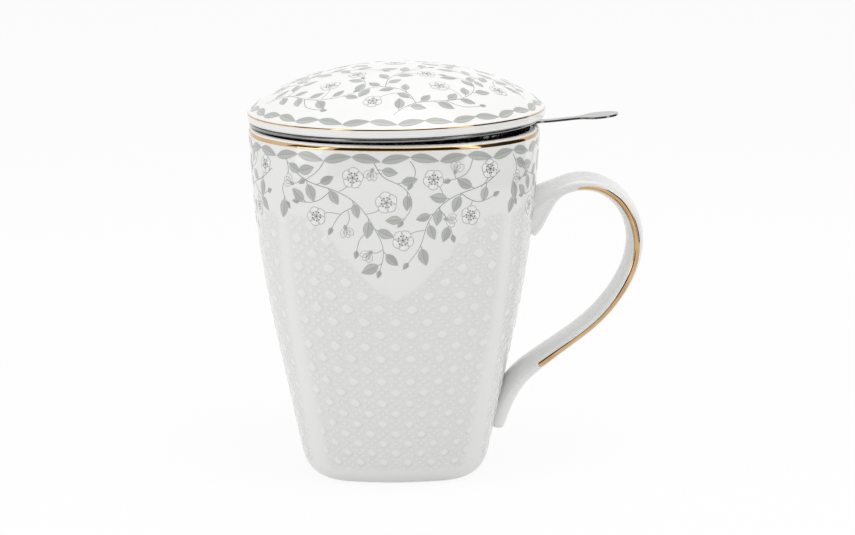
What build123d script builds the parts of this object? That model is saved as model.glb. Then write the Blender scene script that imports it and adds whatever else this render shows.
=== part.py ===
from build123d import *
import math
import os

# Lidded tea mug with a steel infuser.  Millimetres, +Z up.
# The origin is the centre of the foot, on the surface that the mug stands on.
# The handle and the infuser's thumb tab point along +X.

# ---------------------------------------------------------------- mug body, porcelain
MUG_HEIGHT = 104.1            # foot to the crest of the lip
RIM_HALF_WIDTH = 43.0         # axis to the outside of the lip, straight to each side
RIM_CORNER_RADIUS = 36.3      # the lip is still a little square
RIM_FLARE = 0.025             # sideways slope of the wall just under the lip
STRAIGHT_HEIGHT = 43.0        # the wall leans evenly up to here, then curves upright
FOOT_HALF_WIDTH = 27.2        # where the wall would meet the table if the base were sharp
FOOT_CORNER_RADIUS = 14.4     # of the rounded square that the wall grows from
CORNER_BLEND = 0.4            # under 1, the corners open out early below the lip
SIDE_ARC_ANGLE = 13.0         # half the angle that each slow side arc turns through
MUG_WALL = 3.0
MUG_FLOOR_HEIGHT = 7.0        # inside floor above the table
BASE_ROUNDING = 7.5           # outside, where the wall turns under
FLOOR_ROUNDING = 6.0          # inside, where the wall meets the floor
LIP_ROUNDING = 1.35
FOOT_RING_WIDTH = 3.2
FOOT_RECESS_DEPTH = 1.6
FOOT_RECESS_TAPER = 25.0
BODY_STATIONS = (0.0, 0.13, 0.3, 0.48, 0.65, 0.8, 0.92, 1.0)

# ---------------------------------------------------------------- handle, porcelain
HANDLE_WIDTH = 14.5           # across the strap
HANDLE_TOP_THICKNESS = 5.5
HANDLE_LOW_THICKNESS = 4.3
HANDLE_UPPER_ROOT_DEPTH = 18.0
HANDLE_UPPER_FLARE = 22.0     # length along the strap over which the root swells
HANDLE_LOWER_ROOT_DEPTH = 7.0
HANDLE_LOWER_FLARE = 40.0
HANDLE_STATIONS = 17
HANDLE_PATH = (
    (34.6, 73.2), (38.2, 78.0), (43.1, 81.5), (48.8, 84.7), (54.2, 86.4), (60.0, 86.0),
    (65.4, 83.2), (69.6, 78.1), (71.9, 70.4), (70.9, 61.8), (67.0, 53.6), (60.4, 45.4),
    (50.8, 37.6), (43.8, 32.4), (37.2, 26.7), (33.0, 20.3), (30.0, 12.8),
)

# ---------------------------------------------------------------- infuser, steel sheet
FLANGE_INSET = 0.2            # rolled edge inside the mug's outside
BEAD_HEIGHT = 1.2             # rolled edge of the flange
FLANGE_SHEET = 0.5
COLLAR_CLEARANCE = 3.4        # plain skirt inside the mug's mouth
COLLAR_DEPTH = 13.0
COLLAR_BEND = 1.2
SLEEVE_SHEET = 0.4
SLEEVE_FIT = 0.05             # between sheets that are welded to each other
SLEEVE_LAP = 4.0              # sleeve inside the collar
SLEEVE_BOTTOM_RADIUS = 27.5
SLEEVE_DEPTH = 58.0           # floor of the basket below the flange
SLOT_LENGTH = 5.0
SLOT_WIDTH = 1.3
SLOT_ROWS = 5
SLOTS_PER_ROW = 26
SLOT_MARGIN = 6.5             # plain sheet above and below the slots
FLOOR_SHEET = 0.5
FLOOR_EDGE = 2.6              # upturned edge of the floor
FLOOR_HOLE = 2.0
FLOOR_RINGS = 3
FLOOR_PITCH = 6.6
RING_SHEET = 0.5
RING_HEIGHT = 3.4

# ---------------------------------------------------------------- thumb tab, steel strip
TAB_THICKNESS = 0.6
TAB_DROP = 0.75               # level part of the strip below the flange bead
TAB_LEG = 8.0                 # welded to the collar
TAB_LEG_WIDTH = 9.0
TAB_NECK_WIDTH = 3.4
TAB_PADDLE_WIDTH = 10.0
TAB_FLAT_LENGTH = 1.0         # level strip beyond the flange, before it climbs
TAB_SHOULDER_LENGTH = 2.7     # beyond the flange, where the wide leg narrows to the neck
TAB_NECK_LENGTH = 7.9
TAB_FAN_LENGTH = 7.0          # where the neck widens to the paddle
TAB_PADDLE_LENGTH = 6.0
TAB_RISE_ANGLE = 5.0          # the strip climbs a little outside the lip
TAB_RISE_RADIUS = 40.0
TAB_BEND = 1.5
WELD_RADIUS = 1.2
WELD_PROUD = 0.2
WELD_SPACING = 4.6

# ---------------------------------------------------------------- lid, porcelain
LID_OVERHANG = 1.0            # widest part of the edge beyond the mug's outside
LID_BAND = 2.6                # seat up to the widest part
LID_DOME = 13.2               # dome above the widest part
LID_SHOULDER_RADIUS = 27.3    # where the flat crown turns into the steeper flank
LID_SHOULDER_DROP = 4.1
LID_EDGE_ROUNDING = 1.0       # where the edge turns in to the seat
LID_CREASE_ROUNDING = 1.1     # where the dome meets the edge
LID_WALL = 3.4
LID_RING_CLEARANCE = 2.1      # locating ring inside the collar
LID_RING_WALL = 2.8
LID_RING_DEPTH = 2.8
LID_RING_CHAMFER = 0.8
LID_SHIFT = 0.7               # the loose lid lies across to the handle side, within its play

# ---------------------------------------------------------------- running clearances
HEEL_CLEARANCE = 0.12         # flange bead over the lip, opposite the tab
TAB_CLEARANCE = 0.12          # tab over the lip
LID_CLEARANCE = 0.12          # lid over the flange

FLANGE_RADIUS = RIM_HALF_WIDTH - FLANGE_INSET
COLLAR_RADIUS = RIM_HALF_WIDTH - MUG_WALL - COLLAR_CLEARANCE
LID_RADIUS = RIM_HALF_WIDTH + LID_OVERHANG
LID_RING_RADIUS = COLLAR_RADIUS - FLANGE_SHEET - LID_RING_CLEARANCE
TAB_NECK_START = FLANGE_RADIUS + TAB_SHOULDER_LENGTH
TAB_NECK_END = TAB_NECK_START + TAB_NECK_LENGTH
TAB_REACH = TAB_NECK_END + TAB_FAN_LENGTH + TAB_PADDLE_LENGTH

# The tab lies between the flange and the lip, so the infuser and the lid sit tilted.
LIP_CREST_RADIUS = RIM_HALF_WIDTH - MUG_WALL / 2
TAB_LIFT = TAB_CLEARANCE + TAB_THICKNESS + TAB_DROP - HEEL_CLEARANCE
TILT = math.degrees(math.asin(TAB_LIFT / (2 * LIP_CREST_RADIUS)))


def half_width(z):
    """Axis to the middle of a side of the mug, at height z."""
    curved = MUG_HEIGHT - STRAIGHT_HEIGHT
    lean = (RIM_HALF_WIDTH - FOOT_HALF_WIDTH - RIM_FLARE * curved / 2) / (STRAIGHT_HEIGHT + curved / 2)
    above = max(0.0, z - STRAIGHT_HEIGHT)
    return FOOT_HALF_WIDTH + lean * z - (lean - RIM_FLARE) * above ** 2 / (2 * curved)


def corner_radius(z):
    """Radius of the mug's four upright corners at height z; they open out towards the lip."""
    share = max(0.0, (MUG_HEIGHT - z) / MUG_HEIGHT) ** CORNER_BLEND
    foot = FOOT_CORNER_RADIUS / FOOT_HALF_WIDTH
    rim = RIM_CORNER_RADIUS / RIM_HALF_WIDTH
    return half_width(z) * (rim + (foot - rim) * share)


def rounded_square(half, corner, z):
    """Face of eight tangent arcs: four slow side arcs and four corner arcs."""
    angle = math.radians(SIDE_ARC_ANGLE)
    lean = math.cos(angle) - math.sin(angle)
    side = (half - corner * lean) / (1 - lean)
    end = Vector(side * math.sin(angle), half - side + side * math.cos(angle))
    centre = end - Vector(math.sin(angle), math.cos(angle)) * corner
    elbow = centre + Vector(corner, corner) * math.sqrt(0.5)
    arcs = []
    for turn in (0, 90, 180, 270):
        place = Rot(0, 0, -turn)
        arcs.append(place * ThreePointArc((-end.X, end.Y), (0, half), (end.X, end.Y)))
        arcs.append(place * ThreePointArc((end.X, end.Y), (elbow.X, elbow.Y), (end.Y, end.X)))
    return Pos(0, 0, z) * make_face(arcs)


def mug_form(inset, low, high):
    """Solid of the mug's outside, or of its cavity when inset is the wall."""
    faces = []
    for share in BODY_STATIONS:
        z = low + (high - low) * share
        faces.append(rounded_square(half_width(z) - inset, corner_radius(z) - inset, z))
    return loft(faces)


def mug_outside():
    form = mug_form(0, 0, MUG_HEIGHT)
    return fillet(form.faces().sort_by(Axis.Z)[0].edges(), BASE_ROUNDING)


def mug_body():
    """Slip-cast body: nearly round lip, rounded-square base, open inside, ring foot underneath."""
    cavity = mug_form(MUG_WALL, MUG_FLOOR_HEIGHT, MUG_HEIGHT)
    cavity = fillet(cavity.faces().sort_by(Axis.Z)[0].edges(), FLOOR_ROUNDING)
    body = mug_outside() - cavity
    body = fillet(body.faces().sort_by(Axis.Z)[-1].edges(), LIP_ROUNDING)
    foot_inset = BASE_ROUNDING + FOOT_RING_WIDTH
    recess = rounded_square(FOOT_HALF_WIDTH - foot_inset, FOOT_CORNER_RADIUS - foot_inset / 2, 0)
    recess = extrude(recess, FOOT_RECESS_DEPTH, taper=FOOT_RECESS_TAPER)
    return body - recess


def handle_path():
    points = [Vector(x, 0, z) for x, z in HANDLE_PATH]
    return Spline(*points)


def swell(share):
    """Smooth fall from 1 at a root of the handle to 0 where its flare ends."""
    rest = max(0.0, 1 - share)
    return rest ** 2 * (3 - 2 * rest)


def mug_handle(outside):
    """Ear-shaped strap of oval section; both roots lie face to face on the wall."""
    path = handle_path()
    faces = []
    for index in range(HANDLE_STATIONS):
        share = index / (HANDLE_STATIONS - 1)
        from_top = share * path.length
        from_low = path.length - from_top
        depth = HANDLE_TOP_THICKNESS + (HANDLE_LOW_THICKNESS - HANDLE_TOP_THICKNESS) * share
        depth += (HANDLE_UPPER_ROOT_DEPTH - HANDLE_TOP_THICKNESS) * swell(from_top / HANDLE_UPPER_FLARE)
        depth += (HANDLE_LOWER_ROOT_DEPTH - HANDLE_LOW_THICKNESS) * swell(from_low / HANDLE_LOWER_FLARE)
        plane = Plane(origin=path @ share, x_dir=(0, 1, 0), z_dir=path % share)
        faces.append(plane * Ellipse(HANDLE_WIDTH / 2, depth / 2))
    return loft(faces) - outside


def seated(piece, lift=0.0, shift=0.0):
    """Put a piece of the infuser or lid, drawn level about its axis, on the tilted seat."""
    heel = Pos(-LIP_CREST_RADIUS, 0, MUG_HEIGHT + HEEL_CLEARANCE)
    return heel * Rot(0, -TILT, 0) * Pos(LIP_CREST_RADIUS + shift, 0, lift) * piece


def infuser_collar():
    """One drawn sheet: skirt, flange that rests on the lip, and its edge rolled into a bead."""
    bead = BEAD_HEIGHT / 2
    skirt = COLLAR_RADIUS - FLANGE_SHEET
    outline = [
        (skirt, -COLLAR_DEPTH), (COLLAR_RADIUS, -COLLAR_DEPTH),
        (COLLAR_RADIUS, BEAD_HEIGHT - FLANGE_SHEET - COLLAR_BEND),
        (COLLAR_RADIUS + COLLAR_BEND, BEAD_HEIGHT - FLANGE_SHEET),
        (FLANGE_RADIUS - bead, BEAD_HEIGHT - FLANGE_SHEET), (FLANGE_RADIUS - bead, BEAD_HEIGHT),
        (skirt + COLLAR_BEND, BEAD_HEIGHT), (skirt, BEAD_HEIGHT - COLLAR_BEND),
    ]
    section = make_face(Polyline(*outline, close=True)) + Pos(FLANGE_RADIUS - bead, bead) * Circle(bead)
    return revolve(Plane.XZ * section, Axis.Z)


def sleeve_radius(depth):
    """Outside of the perforated sleeve at a depth below the flange."""
    start = COLLAR_DEPTH
    top = COLLAR_RADIUS - FLANGE_SHEET - SLEEVE_FIT
    share = max(0.0, depth - start) / (SLEEVE_DEPTH - start)
    return top + (SLEEVE_BOTTOM_RADIUS - top) * share


def infuser_sleeve():
    """Tapered sleeve rolled from slotted sheet, lapped inside the collar."""
    top = COLLAR_DEPTH - SLEEVE_LAP
    outline = [(sleeve_radius(depth), -depth) for depth in (top, COLLAR_DEPTH, SLEEVE_DEPTH)]
    inner = [(radius - SLEEVE_SHEET, z) for radius, z in reversed(outline)]
    sleeve = revolve(Plane.XZ * make_face(Polyline(*outline, *inner, close=True)), Axis.Z)
    fall = SLEEVE_DEPTH - COLLAR_DEPTH
    lean = math.degrees(math.atan2(sleeve_radius(COLLAR_DEPTH) - SLEEVE_BOTTOM_RADIUS, fall))
    first = COLLAR_DEPTH + SLOT_MARGIN + SLOT_LENGTH / 2
    pitch = (fall - 2 * SLOT_MARGIN - SLOT_LENGTH) / (SLOT_ROWS - 1)
    slots = []
    for row in range(SLOT_ROWS):
        depth = first + row * pitch
        place = Pos(sleeve_radius(depth), 0, -depth) * Rot(0, lean, 0) * Rot(0, 90, 0)
        slot = place * Box(SLOT_LENGTH, SLOT_WIDTH, 4 * SLEEVE_SHEET)
        for index in range(SLOTS_PER_ROW):
            turn = 360 / SLOTS_PER_ROW * (index + 0.5 * (row % 2))
            slots.append(Rot(0, 0, turn) * slot)
    return sleeve - slots


def infuser_floor():
    """Dished disc with its edge turned up inside the sleeve, and rings of drain holes."""
    radius = sleeve_radius(SLEEVE_DEPTH) - SLEEVE_SHEET - SLEEVE_FIT
    floor = Pos(0, 0, -SLEEVE_DEPTH) * Cylinder(radius, FLOOR_EDGE, align=(Align.CENTER, Align.CENTER, Align.MIN))
    well = Pos(0, 0, FLOOR_SHEET - SLEEVE_DEPTH)
    floor -= well * Cylinder(radius - FLOOR_SHEET, FLOOR_EDGE, align=(Align.CENTER, Align.CENTER, Align.MIN))
    holes = [Cylinder(FLOOR_HOLE / 2, 2 * SLEEVE_DEPTH + 4 * FLOOR_EDGE)]
    for ring in range(1, FLOOR_RINGS + 1):
        for place in PolarLocations(ring * FLOOR_PITCH, 6 * ring):
            holes.append(place * holes[0])
    return floor - holes


def infuser_bottom_ring():
    """Plain band that covers the sleeve's lower edge."""
    inner = SLEEVE_BOTTOM_RADIUS + SLEEVE_FIT
    slope = (sleeve_radius(COLLAR_DEPTH) - SLEEVE_BOTTOM_RADIUS) / (SLEEVE_DEPTH - COLLAR_DEPTH)
    grow = slope * RING_HEIGHT
    outline = [
        (inner, -SLEEVE_DEPTH), (inner + RING_SHEET, -SLEEVE_DEPTH),
        (inner + grow + RING_SHEET, RING_HEIGHT - SLEEVE_DEPTH), (inner + grow, RING_HEIGHT - SLEEVE_DEPTH),
    ]
    return revolve(Plane.XZ * make_face(Polyline(*outline, close=True)), Axis.Z)


def infuser_tab():
    """Strip welded to the collar, bent out under the flange and widened to a paddle."""
    half = TAB_THICKNESS / 2
    leg = COLLAR_RADIUS + half
    level = -half - TAB_DROP
    flat_end = FLANGE_RADIUS + TAB_FLAT_LENGTH
    with BuildSketch(Plane.XZ) as side:
        with BuildLine():
            Line((leg, -TAB_LEG), (leg, level - TAB_BEND))
            RadiusArc((leg, level - TAB_BEND), (leg + TAB_BEND, level), TAB_BEND)
            Line((leg + TAB_BEND, level), (flat_end, level))
            rise = JernArc((flat_end, level), (1, 0), TAB_RISE_RADIUS, TAB_RISE_ANGLE)
            PolarLine(rise @ 1, TAB_REACH, direction=rise % 1)
            offset(amount=half, side=Side.BOTH, closed=True)
        make_face()
    strip = extrude(side.sketch, TAB_PADDLE_WIDTH / 2, both=True)
    leg_half = TAB_LEG_WIDTH / 2
    neck = TAB_NECK_WIDTH / 2
    paddle = TAB_PADDLE_WIDTH / 2
    under = COLLAR_RADIUS + TAB_BEND
    start = TAB_REACH - TAB_PADDLE_LENGTH
    tip = TAB_REACH - paddle
    half_plan = [
        Line((0, 0), (0, leg_half)),
        Line((0, leg_half), (under, leg_half)),
        Spline((under, leg_half), (TAB_NECK_START, neck), tangents=((1, 0), (1, 0))),
        Line((TAB_NECK_START, neck), (TAB_NECK_END, neck)),
        Spline((TAB_NECK_END, neck), (start, paddle), tangents=((1, 0), (1, 0))),
        Line((start, paddle), (tip, paddle)),
        ThreePointArc((tip, paddle), (tip + paddle * math.sqrt(0.5), paddle * math.sqrt(0.5)), (TAB_REACH, 0)),
        Line((TAB_REACH, 0), (0, 0)),
    ]
    plan = make_face(half_plan)
    plan += mirror(plan, about=Plane.XZ)
    return strip & extrude(plan, 4 * TAB_LEG, both=True)


def tab_spot_welds():
    """Two flat weld buttons on the outside of the tab's leg."""
    face = COLLAR_RADIUS + TAB_THICKNESS
    button = Rot(0, 90, 0) * Cylinder(WELD_RADIUS, WELD_PROUD, align=(Align.CENTER, Align.CENTER, Align.MIN))
    height = -(TAB_LEG + TAB_BEND) / 2 - TAB_THICKNESS / 4
    welds = [Pos(face, side * WELD_SPACING / 2, height) * button for side in (-1, 1)]
    return Compound(children=welds)


def lid():
    """Domed porcelain lid with an upright edge and a locating ring underneath."""
    top = LID_BAND + LID_DOME
    shoulder = Vector(LID_SHOULDER_RADIUS, top - LID_SHOULDER_DROP)
    crown_radius = (LID_SHOULDER_RADIUS ** 2 + LID_SHOULDER_DROP ** 2) / (2 * LID_SHOULDER_DROP)
    crown_slope = math.asin(LID_SHOULDER_RADIUS / crown_radius)
    crown_end = Vector(math.cos(crown_slope), -math.sin(crown_slope))
    ring_inner = LID_RING_RADIUS - LID_RING_WALL
    hollow_top = top - LID_WALL
    hollow_radius = crown_radius - LID_WALL
    hollow_edge = hollow_top - hollow_radius + math.sqrt(hollow_radius ** 2 - ring_inner ** 2)
    with BuildSketch(Plane.XZ) as section:
        with BuildLine():
            RadiusArc((0, top), shoulder, crown_radius)
            TangentArc(shoulder, (LID_RADIUS, LID_BAND), tangent=crown_end)
            Line((LID_RADIUS, LID_BAND), (LID_RADIUS, 0))
            Line((LID_RADIUS, 0), (LID_RING_RADIUS, 0))
            Line((LID_RING_RADIUS, 0), (LID_RING_RADIUS, -LID_RING_DEPTH))
            Line((LID_RING_RADIUS, -LID_RING_DEPTH), (ring_inner, -LID_RING_DEPTH))
            Line((ring_inner, -LID_RING_DEPTH), (ring_inner, hollow_edge))
            RadiusArc((ring_inner, hollow_edge), (0, hollow_top), -hollow_radius)
            Line((0, hollow_top), (0, top))
        make_face()
        rim = section.vertices().sort_by(Axis.X)[-2:].sort_by(Axis.Y)
        fillet(rim[0], LID_EDGE_ROUNDING)
        fillet(rim[1], LID_CREASE_ROUNDING)
        chamfer(section.vertices().sort_by(Axis.Y)[:2], LID_RING_CHAMFER)
    return revolve(section.sketch, Axis.Z)


os.makedirs("parts", exist_ok=True)
outside = mug_outside()
pieces = {
    "mug_body": mug_body(),
    "mug_handle": mug_handle(outside),
    "infuser_collar": seated(infuser_collar()),
    "infuser_sleeve": seated(infuser_sleeve()),
    "infuser_floor": seated(infuser_floor()),
    "infuser_bottom_ring": seated(infuser_bottom_ring()),
    "infuser_tab": seated(infuser_tab()),
    "tab_spot_welds": seated(tab_spot_welds()),
    "lid": seated(lid(), BEAD_HEIGHT + LID_CLEARANCE, LID_SHIFT),
}
for name, piece in pieces.items():
    export_step(piece, f"parts/{name}.step")
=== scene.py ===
import cmath
import math
import random
import bmesh
import bpy
from mathutils import Matrix, Vector


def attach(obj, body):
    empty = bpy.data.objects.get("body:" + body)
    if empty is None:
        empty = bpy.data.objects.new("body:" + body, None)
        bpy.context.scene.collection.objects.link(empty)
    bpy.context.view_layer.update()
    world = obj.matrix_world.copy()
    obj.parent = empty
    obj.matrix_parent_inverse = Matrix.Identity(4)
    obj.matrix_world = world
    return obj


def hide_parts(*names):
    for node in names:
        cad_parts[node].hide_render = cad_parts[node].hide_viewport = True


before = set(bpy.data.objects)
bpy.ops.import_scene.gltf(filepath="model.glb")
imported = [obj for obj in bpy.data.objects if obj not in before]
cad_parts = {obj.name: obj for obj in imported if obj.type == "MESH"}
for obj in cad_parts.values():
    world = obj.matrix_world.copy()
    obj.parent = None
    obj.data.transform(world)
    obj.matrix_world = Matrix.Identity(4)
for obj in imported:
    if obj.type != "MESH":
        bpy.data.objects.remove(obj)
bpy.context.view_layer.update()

# ============================================================ porcelain body of the mug
# Slip-cast white porcelain under a clear glaze.  The lip is nearly round, the base a
# rounded square, and each side carries a cane-webbing relief that the mould leaves in it.
MM = 0.001
MUG_HEIGHT = 104.1 * MM
RIM_HALF_WIDTH = 43.0 * MM
RIM_CORNER_RADIUS = 36.3 * MM
RIM_FLARE = 0.025                  # outward lean of the wall at the lip
STRAIGHT_HEIGHT = 43.0 * MM        # below this the wall leans evenly
FOOT_HALF_WIDTH = 27.2 * MM
FOOT_CORNER_RADIUS = 14.4 * MM
CORNER_BLEND = 0.4
SIDE_ARC_ANGLE = math.radians(13.0)
MUG_WALL = 3.0 * MM
MUG_FLOOR_HEIGHT = 7.0 * MM
BASE_ROUNDING = 7.5 * MM
FLOOR_ROUNDING = 6.0 * MM
LIP_ROUNDING = 1.35 * MM
FOOT_INSET = 10.7 * MM
FOOT_RECESS_DEPTH = 1.6 * MM
FOOT_RECESS_SLANT = math.radians(25.0)
SLANT_REACH = 10 * MM              # the lean of the wall over the foot is taken over this height
BODY_STATIONS = (0.0, 0.13, 0.3, 0.48, 0.65, 0.8, 0.92, 1.0)
BODY_COLUMNS = 512
INSIDE_COLUMNS = 128
BASE_RINGS, RELIEF_RINGS, UPPER_RINGS, LIP_RINGS, INSIDE_RINGS, FLOOR_RINGS = 12, 160, 10, 16, 16, 8

RELIEF_HEIGHT = 0.16 * MM
RELIEF_TOP = 86.0 * MM
RELIEF_START = 4.5 * MM            # the relief rises between these two heights above the foot
RELIEF_FULL = 6.5 * MM
CORNER_MARGIN_LOW = 2.6 * MM       # plain strip along each corner, at the foot
CORNER_MARGIN_HIGH = 0.8 * MM      # and from the margin height up
MARGIN_HEIGHT = 70.0 * MM
MARGIN_FADE_OUT = 0.8 * MM
MARGIN_FADE_IN = 2.8 * MM
SWAG_HEIGHT = 60.0 * MM            # top of the relief in the middle of a side
SWAG_RISE = 23.0 * MM
SWAG_REACH = 28.0 * MM
SWAG_FADE = 1.0 * MM
WEBBING_COLUMNS = 7                # raised lozenges across one side
WEBBING_ROW = 0.43                 # row step as a share of the column pitch
WEBBING_PHASE = 1.75
WEBBING_STEP = 0.1 * MM
LOZENGE_FLAT = 0.14                # half widths of a lozenge's top and foot, in strand counts
LOZENGE_FOOT = 0.3
LOZENGE_POWER = 3.0                # how full its corners are: a circle at 2, square by degrees above


def half_width(z):
    """From the mug's axis to the middle of a side, at a height."""
    curved = MUG_HEIGHT - STRAIGHT_HEIGHT
    lean = (RIM_HALF_WIDTH - FOOT_HALF_WIDTH - RIM_FLARE * curved / 2) / (STRAIGHT_HEIGHT + curved / 2)
    above = max(0.0, z - STRAIGHT_HEIGHT)
    return FOOT_HALF_WIDTH + lean * z - (lean - RIM_FLARE) * above ** 2 / (2 * curved)


def natural_spline(values, knots):
    """Second derivatives of the smooth curve through values at knots, with free ends."""
    count = len(values)
    bend, carry = [0.0] * count, [0.0] * count
    for i in range(1, count - 1):
        before, after = knots[i] - knots[i - 1], knots[i + 1] - knots[i]
        scale = 2 * (before + after) - before * carry[i - 1]
        carry[i] = after / scale
        jump = (values[i + 1] - values[i]) / after - (values[i] - values[i - 1]) / before
        bend[i] = (6 * jump - before * bend[i - 1]) / scale
    for i in range(count - 2, 0, -1):
        bend[i] -= carry[i] * bend[i + 1]
    return bend


def spline_at(values, knots, bend, place):
    """Height at a place of the curve whose second derivatives natural_spline found."""
    i = max(k for k in range(len(knots) - 1) if knots[k] <= place or k == 0)
    width = knots[i + 1] - knots[i]
    right = (place - knots[i]) / width
    left = 1 - right
    curve = (left ** 3 - left) * bend[i] + (right ** 3 - right) * bend[i + 1]
    return left * values[i] + right * values[i + 1] + curve * width ** 2 / 6


station_heights = [share * MUG_HEIGHT for share in BODY_STATIONS]
station_squareness = [(1 - share) ** CORNER_BLEND for share in BODY_STATIONS]
station_bend = natural_spline(station_squareness, station_heights)


def corner_radius(z):
    """Radius of the mug's corners at a height."""
    squareness = spline_at(station_squareness, station_heights, station_bend, z)
    foot, rim = FOOT_CORNER_RADIUS / FOOT_HALF_WIDTH, RIM_CORNER_RADIUS / RIM_HALF_WIDTH
    return half_width(z) * (rim + (foot - rim) * squareness)


def side_sweep(half, corner):
    """Radius of the slow arc along each side of a rounded square."""
    lean = math.cos(SIDE_ARC_ANGLE) - math.sin(SIDE_ARC_ANGLE)
    return (half - corner * lean) / (1 - lean)


def side_girth(half, corner):
    """Length of one side of a rounded square, from corner middle to corner middle."""
    return 2 * (side_sweep(half, corner) * SIDE_ARC_ANGLE + corner * (math.pi / 4 - SIDE_ARC_ANGLE))


def on_ring(half, corner, side, along):
    """Point and outward direction on a rounded square.  Side 0 faces -Y, side 1 faces +X."""
    girth = side_girth(half, corner)
    hops = math.floor(along / girth + 0.5)
    reach = abs(along - hops * girth)
    sign = math.copysign(1, along - hops * girth)
    sweep = side_sweep(half, corner)
    if reach <= sweep * SIDE_ARC_ANGLE:
        turn = reach / sweep
        x, y = sweep * math.sin(turn), half - sweep + sweep * math.cos(turn)
    else:
        turn = SIDE_ARC_ANGLE + (reach - sweep * SIDE_ARC_ANGLE) / corner
        x = (sweep - corner) * math.sin(SIDE_ARC_ANGLE) + corner * math.sin(turn)
        y = half - sweep + (sweep - corner) * math.cos(SIDE_ARC_ANGLE) + corner * math.cos(turn)
    quarter = Matrix.Rotation(math.pi / 2 * (side + hops), 2)
    return quarter @ Vector((sign * x, -y)), quarter @ Vector((sign * math.sin(turn), -math.cos(turn)))


def ease(low, high, value):
    share = min(1.0, max(0.0, (value - low) / (high - low)))
    return share * share * (3 - 2 * share)


webbing_rows = [0.0]
while len(webbing_rows) * WEBBING_STEP < MUG_HEIGHT:
    level = len(webbing_rows) * WEBBING_STEP
    webbing_pitch = side_girth(half_width(level), corner_radius(level)) / WEBBING_COLUMNS
    webbing_rows.append(webbing_rows[-1] + WEBBING_STEP / (WEBBING_ROW * webbing_pitch))


def webbing(along, z, girth):
    """Counts of the two diagonal strands at a place on a side, and how fully the relief is pressed."""
    column = along / girth * WEBBING_COLUMNS
    row = webbing_rows[min(len(webbing_rows) - 1, int(z / WEBBING_STEP))] - WEBBING_PHASE
    margin = CORNER_MARGIN_LOW + (CORNER_MARGIN_HIGH - CORNER_MARGIN_LOW) * min(1.0, z / MARGIN_HEIGHT)
    swag = SWAG_HEIGHT + SWAG_RISE * ease(0.0, SWAG_REACH, abs(along))
    pressed = ease(margin - MARGIN_FADE_OUT, margin + MARGIN_FADE_IN, girth / 2 - abs(along))
    pressed *= ease(-SWAG_FADE, SWAG_FADE, swag - z) * ease(RELIEF_START, RELIEF_FULL, z)
    return column + row / 2, column - row / 2, pressed


def lozenge(a, b):
    """Height share of the large raised lozenges, which sit where both strand counts are whole."""
    reach = sum(abs(count - round(count)) ** LOZENGE_POWER for count in (a, b)) ** (1 / LOZENGE_POWER)
    return 1 - ease(LOZENGE_FLAT, LOZENGE_FOOT, reach)


def mug_outline():
    """Half width, corner radius, height and point count of each ring, from under the foot to the floor."""
    def ring(z, inset, count=INSIDE_COLUMNS):
        return half_width(z) - inset, corner_radius(z) - inset, z, count

    recess, recess_corner = FOOT_HALF_WIDTH - FOOT_INSET, FOOT_CORNER_RADIUS - FOOT_INSET / 2
    narrow = FOOT_RECESS_DEPTH * math.tan(FOOT_RECESS_SLANT)
    inner, inner_corner = recess - narrow, recess_corner - narrow
    rings = [(inner * share, inner_corner * share, FOOT_RECESS_DEPTH, INSIDE_COLUMNS)
             for share in (0.3, 0.65, 0.93, 1.0)]
    rings.append((recess, recess_corner, 0.0, INSIDE_COLUMNS))
    slant = math.atan((half_width(SLANT_REACH) - half_width(0.0)) / SLANT_REACH)
    centre = FOOT_HALF_WIDTH + (math.tan(slant) - 1 / math.cos(slant)) * BASE_ROUNDING
    for step in range(BASE_RINGS + 1):
        turn = (math.pi / 2 - slant) * step / BASE_RINGS
        z = BASE_ROUNDING * (1 - math.cos(turn))
        rings.append(ring(z, half_width(z) - centre - BASE_ROUNDING * math.sin(turn), BODY_COLUMNS))
    base_top = rings[-1][2]
    lip_start = MUG_HEIGHT - LIP_ROUNDING
    for rows, start, end, columns in ((RELIEF_RINGS, base_top, RELIEF_TOP, BODY_COLUMNS),
                                      (UPPER_RINGS, RELIEF_TOP, lip_start, INSIDE_COLUMNS)):
        rings += [ring(start + (end - start) * row / rows, 0.0, columns) for row in range(1, rows + 1)]
    for step in range(1, LIP_RINGS + 1):
        turn = math.pi * step / LIP_RINGS
        inset = LIP_ROUNDING * (1 - math.cos(turn))
        if turn > math.pi / 2:
            inset += MUG_WALL - 2 * LIP_ROUNDING
        rings.append(ring(lip_start + LIP_ROUNDING * math.sin(turn), inset))
    low = MUG_FLOOR_HEIGHT + FLOOR_ROUNDING * (1 - math.sin(slant))
    rows = range(1, INSIDE_RINGS + 1)
    rings += [ring(lip_start + (low - lip_start) * row / INSIDE_RINGS, MUG_WALL) for row in rows]
    centre = half_width(MUG_FLOOR_HEIGHT) - MUG_WALL + (math.tan(slant) - 1 / math.cos(slant)) * FLOOR_ROUNDING
    for step in range(1, FLOOR_RINGS + 1):
        turn = (math.pi / 2 - slant) * (1 - step / FLOOR_RINGS)
        z = MUG_FLOOR_HEIGHT + FLOOR_ROUNDING * (1 - math.cos(turn))
        rings.append(ring(z, half_width(z) - centre - FLOOR_ROUNDING * math.sin(turn)))
    flat, flat_corner = rings[-1][:2]
    return rings + [(flat * share, flat_corner * share, MUG_FLOOR_HEIGHT, INSIDE_COLUMNS)
                    for share in (0.85, 0.5, 0.2)]


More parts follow.
